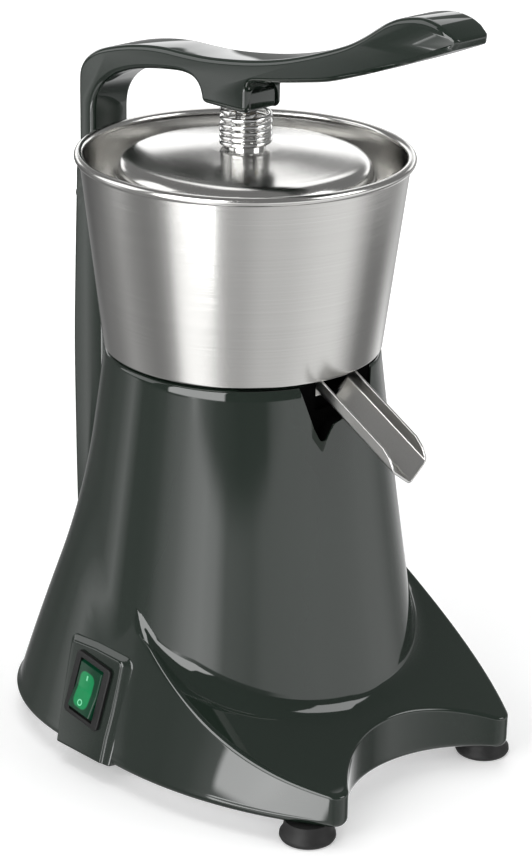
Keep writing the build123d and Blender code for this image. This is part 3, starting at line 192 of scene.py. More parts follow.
# take one closed piece away from another
def carve(piece, cutter):
    bpy.context.view_layer.update()
    applyModifier(piece, "BOOLEAN", operation="DIFFERENCE", object=cutter, solver="EXACT")
    bpy.data.objects.remove(cutter)


# join several pieces into one mesh
def merged(name, pieces):
    work = bmesh.new()
    for piece in pieces:
        work.from_mesh(piece.data)
        bpy.data.objects.remove(piece)
    mesh = bpy.data.meshes.new(name)
    work.to_mesh(mesh)
    work.free()
    smoothFaces(mesh)
    return linked(name, mesh)


# finish of a piece, the body it rides on and the nodes it stands for
def dress(piece, body, slot, material, *nodes):
    piece.data.materials.clear()
    piece.data.materials.append(material)
    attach(piece, body)
    if nodes:
        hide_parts(*nodes)
    return piece


# Camera at the photograph's place and angle
view = {
    "place": (-0.8353, -0.8477, 0.6254),
    "back": (-0.65908, -0.65563, 0.36848),
    "roll": 1.033,
    "lens": 109.755,
    "sensor": 36.0,
}


def makeCamera():
    back = Vector(view["back"]).normalized()
    level = Vector((-back.y, back.x, 0)).normalized()
    up = back.cross(level)
    roll = math.radians(view["roll"])
    right = level * math.cos(roll) + up * math.sin(roll)
    up = back.cross(right)
    data = bpy.data.cameras.new("camera")
    data.sensor_width = view["sensor"]
    data.lens = view["lens"]
    data.clip_start = 0.05
    camera = linked("camera", data)
    camera.matrix_world = Matrix((
        (right.x, up.x, back.x, view["place"][0]),
        (right.y, up.y, back.y, view["place"][1]),
        (right.z, up.z, back.z, view["place"][2]),
        (0, 0, 0, 1),
    ))
    scene.camera = camera


makeCamera()
print("camera placed")


# Shader maths: a socket that takes part in Python sums
class Sock:
    def __init__(self, tree, socket):
        self.tree = tree
        self.socket = socket

    def math(self, operation, *values):
        return node(self.tree, "ShaderNodeMath", {"operation": operation}, dict(enumerate(values)))

    def __add__(self, other):
        return self.math("ADD", self, other)

    def __radd__(self, other):
        return self.math("ADD", other, self)

    def __sub__(self, other):
        return self.math("SUBTRACT", self, other)

    def __rsub__(self, other):
        return self.math("SUBTRACT", other, self)

    def __mul__(self, other):
        return self.math("MULTIPLY", self, other)

    def __rmul__(self, other):
        return self.math("MULTIPLY", other, self)

    def __truediv__(self, other):
        return self.math("DIVIDE", self, other)

    def __pow__(self, other):
        return self.math("POWER", self, other)


# a new node with its settings and inputs, as one of its outputs
def node(tree, kind, settings=None, inputs=None, output=0):
    made = tree.nodes.new(kind)
    for key, value in (settings or {}).items():
        if key == "stops":
            ramp = made.color_ramp.elements
            while len(ramp) < len(value):
                ramp.new(0.5)
            for stop, (place, colour) in zip(ramp, value):
                stop.position = place
                stop.color = colour
        else:
            setattr(made, key, value)
    setSockets(tree, made, inputs or {})
    return Sock(tree, made.outputs[output])


# link what is a socket and set what is a value
def setSockets(tree, shader, sockets):
    for key, value in sockets.items():
        if isinstance(value, Sock):
            tree.links.new(value.socket, shader.inputs[key])
        else:
            shader.inputs[key].default_value = value


def newMaterial(name):
    material = bpy.data.materials.new(name)
    material.use_nodes = True
    tree = material.node_tree
    place = node(tree, "ShaderNodeTexCoord", output="Object")
    return material, tree, tree.nodes["Principled BSDF"], place


def bump(tree, height, strength, distance):
    sockets = {"Height": height, "Strength": strength, "Distance": distance}
    return node(tree, "ShaderNodeBump", None, sockets, "Normal")


def noise(tree, place, scale, detail=2.0, roughness=0.5):
    sockets = {"Vector": place, "Scale": scale, "Detail": detail, "Roughness": roughness}
    return node(tree, "ShaderNodeTexNoise", None, sockets, "Fac")


def mixColour(tree, share, low, high):
    return node(tree, "ShaderNodeMix", {"data_type": "RGBA"}, {0: share, 6: low, 7: high}, 2)


# a place's three coordinates, each as a value
def coordinates(tree, place):
    split = node(tree, "ShaderNodeSeparateXYZ", None, {0: place}).socket.node
    return [Sock(tree, socket) for socket in split.outputs]


# 0 at one limit and 1 at the other, eased between them
def smoothStep(tree, value, start, end):
    settings = {"interpolation_type": "SMOOTHSTEP"}
    return node(tree, "ShaderNodeMapRange", settings, {0: value, 1: start, 2: end})


# Glossy enamel on the castings: dark green-grey under a clear coat, with a faint orange peel; inside the
# notch the colour is painted shade, near-black and without coat, told by its depth under the trunk's skin
paint = {
    "dark": (0.0108, 0.0190, 0.0136, 1), "light": (0.0155, 0.0246, 0.0183, 1), "peel": 420.0,
    "trunk": ((0.0300, 0.0914), (0.1300, 0.0756), (0.1995, 0.0663)),
    # painted shade inside the notch: its near-black colour, its depth under the trunk's skin, its y limit
    # and its heights
    "notchShade": (0.003, 0.003, 0.003, 1), "notchShadeDepth": 0.0008, "notchShadeY": -0.045, "notchShadeZ": (0.166, 0.1995),
}


def paintMaterial():
    c = paint
    material, tree, shader, place = newMaterial("greyPaint")
    cloud = noise(tree, place, 14.0, 3.0)
    peel = noise(tree, place, c["peel"], 1.0)
    x, y, z = coordinates(tree, place)
    bend, slope, base = (float(v) for v in np.polyfit(*zip(*c["trunk"]), 2))
    depth = z * (z * bend + slope) + base - (x * x + y * y) ** 0.5
    low, high = c["notchShadeZ"]
    # mask of the painted shade: inside the notch, deeper than the trunk's skin, in front and between the
    # heights
    inside = depth.math("GREATER_THAN", depth, c["notchShadeDepth"]) * y.math("LESS_THAN", y, c["notchShadeY"])
    inside = inside * z.math("GREATER_THAN", z, low) * z.math("LESS_THAN", z, high)
    enamel = mixColour(tree, cloud, c["dark"], c["light"])
    setSockets(tree, shader, {
        "Base Color": mixColour(tree, inside, enamel, c["notchShade"]),
        "Roughness": 0.30 + 0.06 * cloud,
        "Specular IOR Level": 0.0,
        "Coat Weight": 1.0 - inside,
        "Coat Roughness": 0.03,
        "Coat IOR": 1.55,
        "Normal": bump(tree, peel, 0.02, 0.0004),
    })
    return material


greyPaint = paintMaterial()


# distance from the upright axis and height, as one place, so that fine turning lines run round a piece
def lathePlace(tree, place):
    x, y, z = coordinates(tree, place)
    radius = (x * x + y * y) ** 0.5
    return node(tree, "ShaderNodeCombineXYZ", None, {0: radius, 1: 0.0, 2: z})


# Metals: dark and light colour, roughness and its spread, scale and depth of the grain
metals = {
    "spunSteel": ((0.53, 0.525, 0.51), (0.66, 0.655, 0.64), 0.13, 0.06, 2600.0, 0.40),
    "brightSteel": ((0.72, 0.72, 0.71), (0.82, 0.82, 0.81), 0.10, 0.08, 1500.0, 0.05),
    "drawnSteel": ((0.56, 0.555, 0.54), (0.66, 0.655, 0.64), 0.25, 0.08, 1500.0, 0.03),
    "platedSteel": ((0.47, 0.47, 0.48), (0.60, 0.60, 0.60), 0.30, 0.14, 700.0, 0.05),
    "motorCastings": ((0.30, 0.31, 0.32), (0.42, 0.43, 0.44), 0.45, 0.15, 500.0, 0.20),
    "laminations": ((0.10, 0.10, 0.11), (0.22, 0.22, 0.23), 0.42, 0.12, 1800.0, 0.40),
    "copperWire": ((0.42, 0.15, 0.05), (0.66, 0.27, 0.10), 0.30, 0.12, 900.0, 0.50),
    "bronze": ((0.40, 0.26, 0.10), (0.55, 0.38, 0.17), 0.30, 0.12, 1100.0, 0.10),
}


def metalMaterial(name):
    dark, light, rough, spread, grain, deep = metals[name]
    material, tree, shader, place = newMaterial(name)
    lathe = lathePlace(tree, place)
    lines = noise(tree, lathe, grain, 3.0, 0.65)
    cloud = noise(tree, place, 30.0, 3.0)
    setSockets(tree, shader, {
        "Base Color": mixColour(tree, lines, (*dark, 1), (*light, 1)),
        "Roughness": rough + spread * (0.6 * lines + 0.4 * cloud),
        "Metallic": 1.0,
        "Normal": bump(tree, lines, deep, 0.00006),
    })
    return material


(spunSteel, brightSteel, drawnSteel, platedSteel,
 motorCastings, laminations, copperWire, bronze) = map(metalMaterial, metals)

# Rubber and plastics: dark and light colour, roughness, scale and depth of a fine moulded grain
moulded = {
    "blackRubber": ((0.010, 0.010, 0.010), (0.020, 0.020, 0.020), 0.52, 900.0, 0.25),
    "blackPlastic": ((0.006, 0.006, 0.006), (0.010, 0.010, 0.010), 0.42, 1600.0, 0.08),
    "reamerPlastic": ((0.70, 0.70, 0.67), (0.78, 0.78, 0.75), 0.34, 700.0, 0.04),
}


def mouldedMaterial(name):
    dark, light, rough, scale, deep = moulded[name]
    material, tree, shader, place = newMaterial(name)
    cloud = noise(tree, place, 40.0, 3.0)
    grain = noise(tree, place, scale, 2.0)
    setSockets(tree, shader, {
        "Base Color": mixColour(tree, cloud, (*dark, 1), (*light, 1)),
        "Roughness": rough + 0.12 * cloud,
        "Specular IOR Level": 0.3,
        "Normal": bump(tree, grain, deep, 0.0001),
    })
    return material


blackRubber, blackPlastic, reamerPlastic = map(mouldedMaterial, moulded)

# Lit key: dark green with a brighter rounded lens, and a bar and a ring on the lens
keyLook = {
    "middle": (0.0080, 0.0426), "lean": 10.5, "turn": 8.0,
    "lens": (0.8, 0.3), "half": (4.9, 8.9), "corner": 3.4, "soft": 0.5, "glow": 0.8,
    "deep": (0.002, 0.024, 0.011, 1), "bright": (0.002, 0.150, 0.048, 1), "mark": (0.16, 0.50, 0.30, 1),
    "bar": (1.0, 6.4), "barHalf": (0.45, 1.3), "ring": (1.0, -6.2), "ringR": 1.3, "line": 0.3,
}


def greenMaterial():
    c = keyLook
    material, tree, shader, place = newMaterial("greenKey")
    x, y, z = coordinates(tree, place)
    turn = math.radians(c["turn"])
    across = (y - c["middle"][0]) * 1000
    up = (z - c["middle"][1]) * (1000 / math.cos(math.radians(c["lean"])))
    u = across * math.cos(turn) + up * math.sin(turn)
    v = up * math.cos(turn) - across * math.sin(turn)

    def size(value):
        return value.math("ABSOLUTE", value)

    def beyond(value, limit):
        over = size(value) - limit
        return over.math("MAXIMUM", over, 0.0)

    def below(value, limit, soft=0.1):
        return smoothStep(tree, value, limit + soft, limit - soft)

    overU = beyond(u - c["lens"][0], c["half"][0] - c["corner"])
    overV = beyond(v - c["lens"][1], c["half"][1] - c["corner"])
    apart = (overU * overU + overV * overV) ** 0.5
    cloud = noise(tree, place, 160.0, 2.0)
    lit = below(apart, c["corner"], c["soft"]) * (0.75 + 0.4 * cloud)
    bar = below(size(u - c["bar"][0]), c["barHalf"][0]) * below(size(v - c["bar"][1]), c["barHalf"][1])
    du, dv = u - c["ring"][0], v - c["ring"][1]
    ring = below(size((du * du + dv * dv) ** 0.5 - c["ringR"]), c["line"])
    marks = bar.math("MAXIMUM", bar, ring) * 0.8
    colour = mixColour(tree, marks, mixColour(tree, lit, c["deep"], c["bright"]), c["mark"])
    setSockets(tree, shader, {
        "Base Color": colour,
        "Emission Color": colour,
        "Emission Strength": c["glow"],
        "Roughness": 0.20 + 0.06 * cloud,
        "Specular IOR Level": 0.3,
    })
    return material


greenKey = greenMaterial()
print("materials mixed")

# Housing: the base outline at any height, its deck, and the round trunk
casting = {
    "baseZ": 10.0, "half": 96.0, "lean": 13.7, "leanPower": 1.3, "leanRise": 72.0,
    "sideY": -15.0, "prong": (62.5, -124.0), "tip": 6.5, "archR": 66.8, "archY": -168.3,
    "rearReach": 113.0, "rearY": 10.0, "rearPower": 2.4, "rearLean": 0.395,
    "deck": ((-128.0, 24.8), (-70.0, 46.6), (-16.0, 82.0)), "crown": 3.6, "crownHalf": 85.0,
    "trunk": ((30.0, 91.4), (130.0, 75.6), (199.5, 66.3)), "topZ": 199.5,
    "creaseFillet": 1.6, "footFillet": 7.0, "rearBlend": 36.0, "roll": 4.0, "lip": (6.0, 5.25, 4.0),
    "rim": ((0.15, 198.5), (0.6, 199.1), (1.5, 199.5), (4.2, 199.5), (5.0, 198.9), (5.4, 190.0)),
}


# parabola through three stations
def parabola(stations, x):
    (x0, y0), (x1, y1), (x2, y2) = stations
    first = (y1 - y0) / (x1 - x0)
    bend = ((y2 - y1) / (x2 - x1) - first) / (x2 - x0)
    return y0 + first * (x - x0) + bend * (x - x0) * (x - x1)


def trunkRadius(z):
    return parabola(casting["trunk"], z)


# a parabola along the press, with a crown that falls off by the square across it
def deckHeight(x, y):
    low = casting["deck"][0][0]
    flat = parabola(casting["deck"], np.maximum(y, low - 10))
    return flat + casting["crown"] * (1 - np.minimum(np.abs(x) / casting["crownHalf"], 1) ** 2)


# where two circles cross, on the side of larger x
def crossing(ax, ay, ra, bx, by, rb):
    dx, dy = bx - ax, by - ay
    span = np.hypot(dx, dy)
    along = (ra ** 2 - rb ** 2 + span ** 2) / (2 * span)
    aside = np.sqrt(np.maximum(ra ** 2 - along ** 2, 0))
    return ax + (dx * along - dy * aside) / span, ay + (dy * along + dx * aside) / span


outlineParts = {"arch": 34, "tip": 14, "side": 72, "flat": 12, "rear": 60}
outlineStart = np.cumsum([0] + list(outlineParts.values()))
outlineCount = int(outlineStart[-1])


# right half of the skirt's outline from front to rear: arch, rounded tip, side arc, flat, power curve
def halfOutline(z, inset):
    c = casting
    z = np.broadcast_to(np.asarray(z, float), (outlineCount,))
    rise = np.maximum(z - c["baseZ"], 0)
    half = c["half"] - c["lean"] * (rise / c["leanRise"]) ** c["leanPower"] - inset
    reach = c["rearReach"] - c["rearLean"] * rise - inset - c["rearY"]
    depth = c["sideY"] - c["prong"][1]
    drop = half - (c["prong"][0] - inset)
    sideR = (depth ** 2 + drop ** 2) / (2 * drop)
    sideX = half - sideR
    archR = c["archR"] + inset
    tip = c["tip"] - inset
    sideY = np.full(outlineCount, c["sideY"])
    tipX, tipY = crossing(sideX, sideY, sideR - tip, 0.0, c["archY"], archR + tip)
    archEnd = np.arctan2(tipX, tipY - c["archY"])
    sideEnd = np.arctan2(tipY - c["sideY"], tipX - sideX)
    share = np.concatenate([np.arange(n) / n for n in outlineParts.values()])
    share[-outlineParts["rear"]:] = np.linspace(0, 1, outlineParts["rear"])
    part = np.repeat(np.arange(5), list(outlineParts.values()))
    archTurn = archEnd * share
    tipStart = np.arctan2(c["archY"] - tipY, -tipX)
    tipStart = np.where(tipStart > sideEnd, tipStart - 2 * math.pi, tipStart)
    tipTurn = tipStart + (sideEnd - tipStart) * share
    sideTurn = sideEnd * (1 - share)
    rearTurn = share * math.pi / 2
    power = 2 / c["rearPower"]
    which = [part == n for n in range(4)]
    x = np.select(which, [
        archR * np.sin(archTurn), tipX + tip * np.cos(tipTurn), sideX + sideR * np.cos(sideTurn), half,
    ], half * np.maximum(np.cos(rearTurn), 0) ** power)
    y = np.select(which, [
        c["archY"] + archR * np.cos(archTurn), tipY + tip * np.sin(tipTurn),
        c["sideY"] + sideR * np.sin(sideTurn), c["sideY"] + (c["rearY"] - c["sideY"]) * share,
    ], c["rearY"] + reach * np.sin(rearTurn) ** power)
    x = np.where((part == 4) & (share >= 1), 0, x)
    return x, y


# height at which the wall of each column ends, at the deck or at the trunk, found by halving
def wallTop():
    low = np.full(outlineCount, casting["baseZ"] + 1.0)
    high = np.full(outlineCount, 125.0)
    for step in range(40):
        middle = (low + high) / 2
        x, y = halfOutline(middle, 0.0)
        inside = (middle < deckHeight(x, y)) & (np.hypot(x, y) > trunkRadius(middle))
        inside |= (np.hypot(x, y) > trunkRadius(middle)) & (y > casting["deck"][2][0] + 6)
        low = np.where(inside, middle, low)
        high = np.where(inside, high, middle)
    return low


# one column of the housing from the bottom lip to the top, for every place on the half outline at once
def housingColumns():
    c = casting
    topZ = wallTop()
    x0, y0 = halfOutline(topZ, 0.0)
    corner = np.stack([x0, y0, topZ], -1)
    way = np.arctan2(y0, x0)
    footZ = topZ.copy()
    for step in range(30):
        footR = trunkRadius(footZ)
        deck = deckHeight(footR * np.cos(way), footR * np.sin(way))
        footZ = np.where(np.hypot(x0, y0) - trunkRadius(topZ) > 0.02, deck, topZ)
    width = np.maximum(np.hypot(x0, y0) - trunkRadius(footZ), 0)
    front = ease(0.8, 5.0, width)
    place = np.arange(outlineCount)
    behind = ease(outlineStart[3] - 6, outlineStart[4] + 26, place)
    blend = 3.0 + (c["rearBlend"] - 3.0) * behind
    crease = np.minimum(c["creaseFillet"], 0.3 * width + 0.05)
    foot = np.minimum(c["footFillet"], 0.5 * width + 0.05)

    def wallAt(z):
        x, y = halfOutline(z, 0.0)
        return np.stack([x, y, np.broadcast_to(z, x.shape)], -1)

    def trunkAt(z):
        return polar(trunkRadius(z), way, z)

    def bend(a, b, d, t):
        t = t[:, None, None]
        return (1 - t) ** 2 * a + 2 * t * (1 - t) * b + t ** 2 * d

    # bottom lip: a narrow level band and a quarter round
    lip = [(inset, 0.0) for inset in c["lip"]]
    for turn in np.linspace(0, math.pi / 2, 8)[1:]:
        lip.append((c["roll"] * (1 - math.sin(turn)), c["roll"] * (1 - math.cos(turn))))
    rows = []
    for inset, rise in lip:
        x, y = halfOutline(c["baseZ"], inset)
        rows.append(np.stack([x, y, np.full_like(x, c["baseZ"] + rise)], -1)[None])
    reach = front * crease + (1 - front) * blend
    startZ = c["baseZ"] + c["roll"]
    for t in np.linspace(0, 1, 30)[1:-1]:
        rows.append(wallAt(startZ + (topZ - reach - startZ) * t)[None])

    # front columns: crease fillet, deck, foot fillet
    x1, y1 = halfOutline(topZ, crease)
    edge = np.stack([x1, y1, deckHeight(x1, y1)], -1)
    way1 = np.arctan2(y1, x1)
    footPoint = polar(trunkRadius(footZ), way1, footZ)
    inward = footPoint[:, :2] - edge[:, :2]
    span = np.maximum(np.linalg.norm(inward, axis=1), 1e-6)
    deckEnd = edge[:, :2] + inward * np.clip((span - foot) / span, 0.05, 1)[:, None]
    deckEndPoint = np.concatenate([deckEnd, deckHeight(deckEnd[:, 0], deckEnd[:, 1])[:, None]], 1)
    tCrease = np.linspace(0, 1, 7)
    tDeck = np.linspace(0, 1, 22)[1:]
    tFoot = np.linspace(0, 1, 10)[1:]
    creasePart = bend(wallAt(topZ - crease), corner, edge, tCrease)
    plan = edge[None, :, :2] + (deckEnd - edge[:, :2])[None] * tDeck[:, None, None]
    deckPart = np.concatenate([plan, deckHeight(plan[..., 0], plan[..., 1])[..., None]], -1)
    footPart = bend(deckEndPoint, footPoint, trunkAt(footZ + foot), tFoot)
    frontRows = np.concatenate([creasePart, deckPart, footPart])

    # side and rear columns: one long bend from the wall into the trunk
    tAll = np.linspace(0, 1, len(frontRows))
    rearRows = bend(wallAt(topZ - blend), corner, trunkAt(footZ + blend), tAll)
    rows.append(front[None, :, None] * frontRows + (1 - front)[None, :, None] * rearRows)

    riseZ = footZ + front * foot + (1 - front) * blend
    endZ = c["topZ"] - 2.0
    for t in np.linspace(0, 1, 40)[1:]:
        rows.append(trunkAt(riseZ + (endZ - riseZ) * t)[None])
    rim = [polar(trunkRadius(z) - inset, way, z)[None] for inset, z in c["rim"]]
    return np.concatenate(rows + rim)


def makeHousing():
    half = housingColumns()
    other = half[:, ::-1][:, 1:-1] * np.array([-1, 1, 1])
    whole = np.concatenate([half, other], 1)
    return gridPiece("housingShell", whole, closeV=True, capStart=True, capEnd=True)


housingShell = makeHousing()


# A slab: a closed outline in a plane, thick along a third way, its edges rolled over
sideways = ((0, 0, 0), (0, 1, 0), (0, 0, 1), (1, 0, 0))
frontways = ((0, 0, 0), (1, 0, 0), (0, 0, 1), (0, 1, 0))


# the way ahead along a loop, turned right by a quarter
def outwards(loop):
    ahead = unit(np.roll(loop, -1, 0) - np.roll(loop, 1, 0))
    return np.stack([ahead[:, 1], -ahead[:, 0]], 1)


# rows of (outline, depth) placed in space and skinned, with both ends closed
def skinned(name, rows, axes):
    origin, across, up, through = (np.asarray(v, float) for v in axes)

    def placed(flat, depth):
        depth = np.broadcast_to(depth, (len(flat),))[:, None]
        return origin + flat[:, :1] * across + flat[:, 1:] * up + depth * through

    grid = np.stack([placed(flat, depth) for flat, depth in rows])
    return gridPiece(name, grid, closeV=True, capStart=True, capEnd=True)


# the outline drawn in and set back along a quarter round at each face
def plate(name, outline, near, far, roll, axes, steps=5):
    loop = np.asarray(outline, float)
    roll = np.broadcast_to(np.asarray(roll, float), (len(loop),))
    out = outwards(loop)
    turn = np.linspace(0, math.pi / 2, steps + 1)
    rims = [(loop - out * (roll * (1 - math.sin(t)))[:, None], roll * (1 - math.cos(t))) for t in turn]
    rows = [(line, near + deep) for line, deep in rims] + [(line, far - deep) for line, deep in rims[::-1]]
    return skinned(name, rows, axes)


# a closed outline from rounded corners, starting in the middle of an edge
def closedLine(corners, radii, steps=6):
    line = roundedLine(list(corners) + [corners[0]], radii, steps)
    return line[:-1]


def boxLine(x0, y0, x1, y1, radius):
    middle = (x0 + x1) / 2
    corners = ((middle, y0), (x1, y0), (x1, y1), (x0, y1), (x0, y0))
    return closedLine(corners, [radius] * 4)


def arc(middle, radius, start, end, count):
    turn = np.radians(np.linspace(start, end, count))
    return np.stack([middle[0] + radius * np.cos(turn), middle[1] + radius * np.sin(turn)], 1)


# move all points of a piece at once, in millimetres
def reshape(piece, change):
    count = len(piece.data.vertices)
    flat = np.empty(count * 3)
    piece.data.vertices.foreach_get("co", flat)
    moved = change(flat.reshape(-1, 3) / mm) * mm
    piece.data.vertices.foreach_set("co", moved.reshape(-1))
    piece.data.update()


def roundBar(name, middle, radius, near, far, axes, roll=0.3, count=48):
    loop = arc(middle, radius, 0, 360 - 360 / count, count)
    return plate(name, loop, near, far, roll, axes, 2)


# Notch under the spout: cut into the trunk's front, with a raised lip and a way through for the trough
notch = {
    "outline": ((0, 203), (-24.6, 203), (-23.7, 198.5), (-18.5, 179.5), (-15.6, 172.6), (-12.4, 172.6),
                (-7.4, 179.4), (0, 181), (7.4, 179.4), (12.4, 172.6), (15.6, 172.6), (18.5, 179.5),
                (23.7, 198.5), (24.6, 203)),
    "radii": (0, 0, 0, 2.2, 2.2, 4, 6, 4, 2.2, 2.2, 0, 0, 0), "deep": (-90.0, -61.0),
    "way": (-12.4, 185, 12.4, 203), "wayDeep": (-70.0, -58.0),
}


def cutNotch(shell):
    loop = closedLine(notch["outline"], notch["radii"])
    carve(shell, plate("notchCutter", loop, *notch["deep"], 0.8, frontways))
    carve(shell, plate("wayCutter", boxLine(*notch["way"], 1.0), *notch["wayDeep"], 0, frontways, 1))
    work = bmesh.new()
    work.from_mesh(shell.data)
    # the housing is open below and inside its rim
    low, high = casting["baseZ"] * mm, casting["rim"][-1][1] * mm
    lids = [face for face in work.faces if abs(face.normal.z) > 0.99
            and all(min(abs(v.co.z - low), abs(v.co.z - high)) < 1e-5 for v in face.verts)]
    bmesh.ops.delete(work, geom=lids, context="FACES_ONLY")
    work.to_mesh(shell.data)
    work.free()


# Switch panel: a raised flat inside a bevelled strip, leaning with the skirt
panel = {
    "lean": 10.5, "foot": (-98.6, 10.0),
    "flat": ((8, 0.4), (-6.2, 0.4), (-7.2, 13.3), (-9.2, 26.8), (-10.5, 40.9), (-11.3, 53.8), (8, 54.2),
             (24.4, 53.2), (25.4, 26), (25.6, 0.4)),
    "edge": ((8, 0.4), (-11.4, 0.4), (-13.3, 13.6), (-15.9, 28.3), (-17.3, 40.5), (-18.4, 57.2), (8, 57.6),
             (26.4, 56.4), (27.0, 26), (27.2, 0.4)),
    "flatR": (0.8, 0, 0, 0, 2.6, 0, 2.6, 0, 0.8), "edgeR": (0.8, 0, 0, 0, 5.0, 0, 4.0, 0, 0.8),
    "strip": ((1, -26.0), (1, -3.0), (0.985, -2.45), (0.95, -2.05), (0.89, -1.75), (0.8, -1.55),
              (0.5, -1.25), (0.16, -0.95), (0.06, -0.75), (0, -0.4)),
    "brow": ((0.2, -0.15), (0.5, -0.03), (1.0, 0)),
}
panelLean = math.radians(panel["lean"])
panelAxes = (
    (panel["foot"][0], 0, panel["foot"][1]), (0, 1, 0), (math.sin(panelLean), 0, math.cos(panelLean)),
    (-math.cos(panelLean), 0, math.sin(panelLean)),
)


def makePanel():
    flat = closedLine(panel["flat"], panel["flatR"])[::-1]
    edge = closedLine(panel["edge"], panel["edgeR"])[::-1]
    inwards = -outwards(flat)
    rows = [(flat + share * (edge - flat), depth) for share, depth in panel["strip"]]
    rows += [(flat + inset * inwards, depth) for inset, depth in panel["brow"]]
    return skinned("panel", rows, panelAxes)


cutNotch(housingShell)
housingShell = merged("housingShell", [housingShell, makePanel()])
sharpen(housingShell, 32)
dress(housingShell, "stand", "grey_paint", greyPaint, "housing")
print("housing made", len(housingShell.data.polygons))

# Lever: rear column, arched arm, boss over the press head, raised grip
lever = {
    "half": 12.0, "tip": -136.2, "tipCorner": 5.5,
    "tipRoll": ((-136.2, -131, -120), (1.2, 2.0, 2.6)),
    "crest": ((105, 300), (105, 308), (104.4, 315.5), (101.4, 320.9), (93.6, 326.8), (78.3, 332),
              (61.2, 335.5), (46.5, 337), (32, 337.2), (17.8, 337.7), (-0.2, 339.6), (-17.8, 342.4),
              (-35, 346.3), (-55.4, 352.7), (-73.5, 359.7), (-84.1, 365.6), (-91.1, 370.2), (-95.4, 372.9),
              (-101.7, 375.8), (-108.8, 377.7), (-115.8, 378.7), (-121.5, 378.5), (-126.7, 377.2),
              (-130.6, 375.3)),
    "end": ((-136.2, 371.9), (-134.6, 367.9)), "endRadii": (2.0, 1.4),
    "under": ((-130.6, 366.2), (-121.4, 362.4), (-107.4, 356.9), (-97.5, 353.2), (-88.3, 349.7),
              (-79.4, 346.5), (-61.4, 340.6), (-46.6, 337.4), (-30.5, 334.3), (-19, 332.4)),
    "boss": ((-11.5, 331.2), (-11.5, 316), (18.5, 316)), "bossRadii": (6, 3.0, 3.0),
    "arch": ((18.6, 319), (19.6, 322), (21.6, 324.8), (25.2, 326.9), (32, 327.8), (42, 327), (57, 324.7),
             (69.7, 321.6), (80, 317.4), (88, 311.6), (92.6, 305), (94.3, 299), (94.5, 292)),
    "foot": ((94.5, 279.2), (105, 275.6)), "footRadii": (3.0, 3.0), "start": (105, 285),
    "tongue": 6.8, "tongueR": 9.5, "tongueTop": 293, "tongueTail": ((100, 252.5), (91, 252.5)),
    "pivot": (95.5, 265), "bushHole": 5.55, "hood": (9.4, 312, 321),
    "stemHole": ((0, 305), (7.05, 305), (7.05, 327.1), (5.3, 327.1), (5.3, 333.5), (0, 333.5)),
    "cover": (-8.4, 317.2, 8.4, 325.4), "coverY": (-10.6, -7.6),
}


def makeLever():
    c = lever
    runs = [
        (evenLine(c["crest"], 130), 0), (np.array(c["end"]), c["endRadii"]), (evenLine(c["under"], 60), 0),
        (np.array(c["boss"]), c["bossRadii"]), (evenLine(c["arch"], 60), 0),
        (np.array(c["foot"]), c["footRadii"]),
    ]
    corners = np.vstack([[c["start"]]] + [points for points, radius in runs])
    radii = np.concatenate([np.broadcast_to(radius, (len(points),)) for points, radius in runs])
    loop = closedLine([tuple(p) for p in corners], radii)
    roll = np.interp(loop[:, 0], *c["tipRoll"])
    arm = plate("arm", loop, -c["half"], c["half"], roll, sideways, 6)

    def roundTip(p):
        deep = np.clip(p[:, 1] - c["tip"], 0, c["tipCorner"])
        cut = c["tipCorner"] - np.sqrt(c["tipCorner"] ** 2 - (c["tipCorner"] - deep) ** 2)
        p[:, 0] *= 1 - cut / c["half"]
        return p

    reshape(arm, roundTip)
    tongueLine = np.vstack([
        c["tongueTail"][:1], arc(c["pivot"], c["tongueR"], -61.7, 0, 16),
        [(105, c["tongueTop"]), (94.5, c["tongueTop"])],
        arc(c["pivot"], c["tongueR"], 96, 241.7, 30), c["tongueTail"][1:],
    ])
    tongue = plate("tongue", tongueLine, -c["tongue"], c["tongue"], 0.4, sideways, 2)
    carve(tongue, roundBar("bushHole", c["pivot"], c["bushHole"], -20, 20, sideways))
    carve(arm, turned("stemHole", c["stemHole"], 64))
    half, low, high = c["hood"]
    hood = np.vstack([[(-half, low), (half, low)], arc((0, high), half, 0, 180, 30)])
    carve(arm, plate("recess", hood, -30, -8.0, 0.4, frontways, 2))
    return merged("leverCasting", [arm, tongue])


leverCasting = makeLever()
sharpen(leverCasting, 40)
dress(leverCasting, "lever", "grey_paint", greyPaint, "lever_arm")

bossInsert = plate("bossInsert", boxLine(*lever["cover"], 1.2), *lever["coverY"], 0.5, frontways, 3)
sharpen(bossInsert)
dress(bossInsert, "lever", "grey_paint", greyPaint, "boss_cover")
print("lever made", len(leverCasting.data.polygons))

# Pillar: bowed post with a forked head for the hinge
pillar = {
    "half": 14.0, "roll": 3.0, "front": ((85.0, 200), (85.0, 26)), "heel": (100, 26), "cheek": 10.5,
    "rear": ((106, 262), (106.9, 240), (108, 210), (108.9, 177), (108.7, 140), (107.9, 93), (107, 60),
             (106.6, 26)),
    "fork": (-7.0, 250.0, 7.0, 290.0), "pivot": (95.5, 265), "pinHole": 4.05,
    "stop": (102.55, 254.2), "stopHole": 2.55, "grub": (10.5, 265), "grubHole": 2.1,
}


def makePillar():
    c = pillar
    back = evenLine(c["rear"], 40)[::-1]
    loop = np.vstack([[c["heel"]], back, arc(c["pivot"], c["cheek"], 0, 180, 30), c["front"]])
    post = plate("pillarPost", loop, -c["half"], c["half"], c["roll"], sideways, 5)
    carve(post, plate("fork", boxLine(*c["fork"], 0.6), 60, 130, 0, frontways, 1))
    carve(post, roundBar("pinHole", c["pivot"], c["pinHole"], -20, 20, sideways))
    carve(post, roundBar("stopHole", c["stop"], c["stopHole"], -20, 20, sideways))
    carve(post, roundBar("grubHole", c["grub"], c["grubHole"], 70, c["pivot"][0], frontways))
    return post


pillarPost = makePillar()
sharpen(pillarPost, 40)
dress(pillarPost, "stand", "grey_paint", greyPaint, "rear_pillar")
print("pillar made", len(pillarPost.data.polygons))

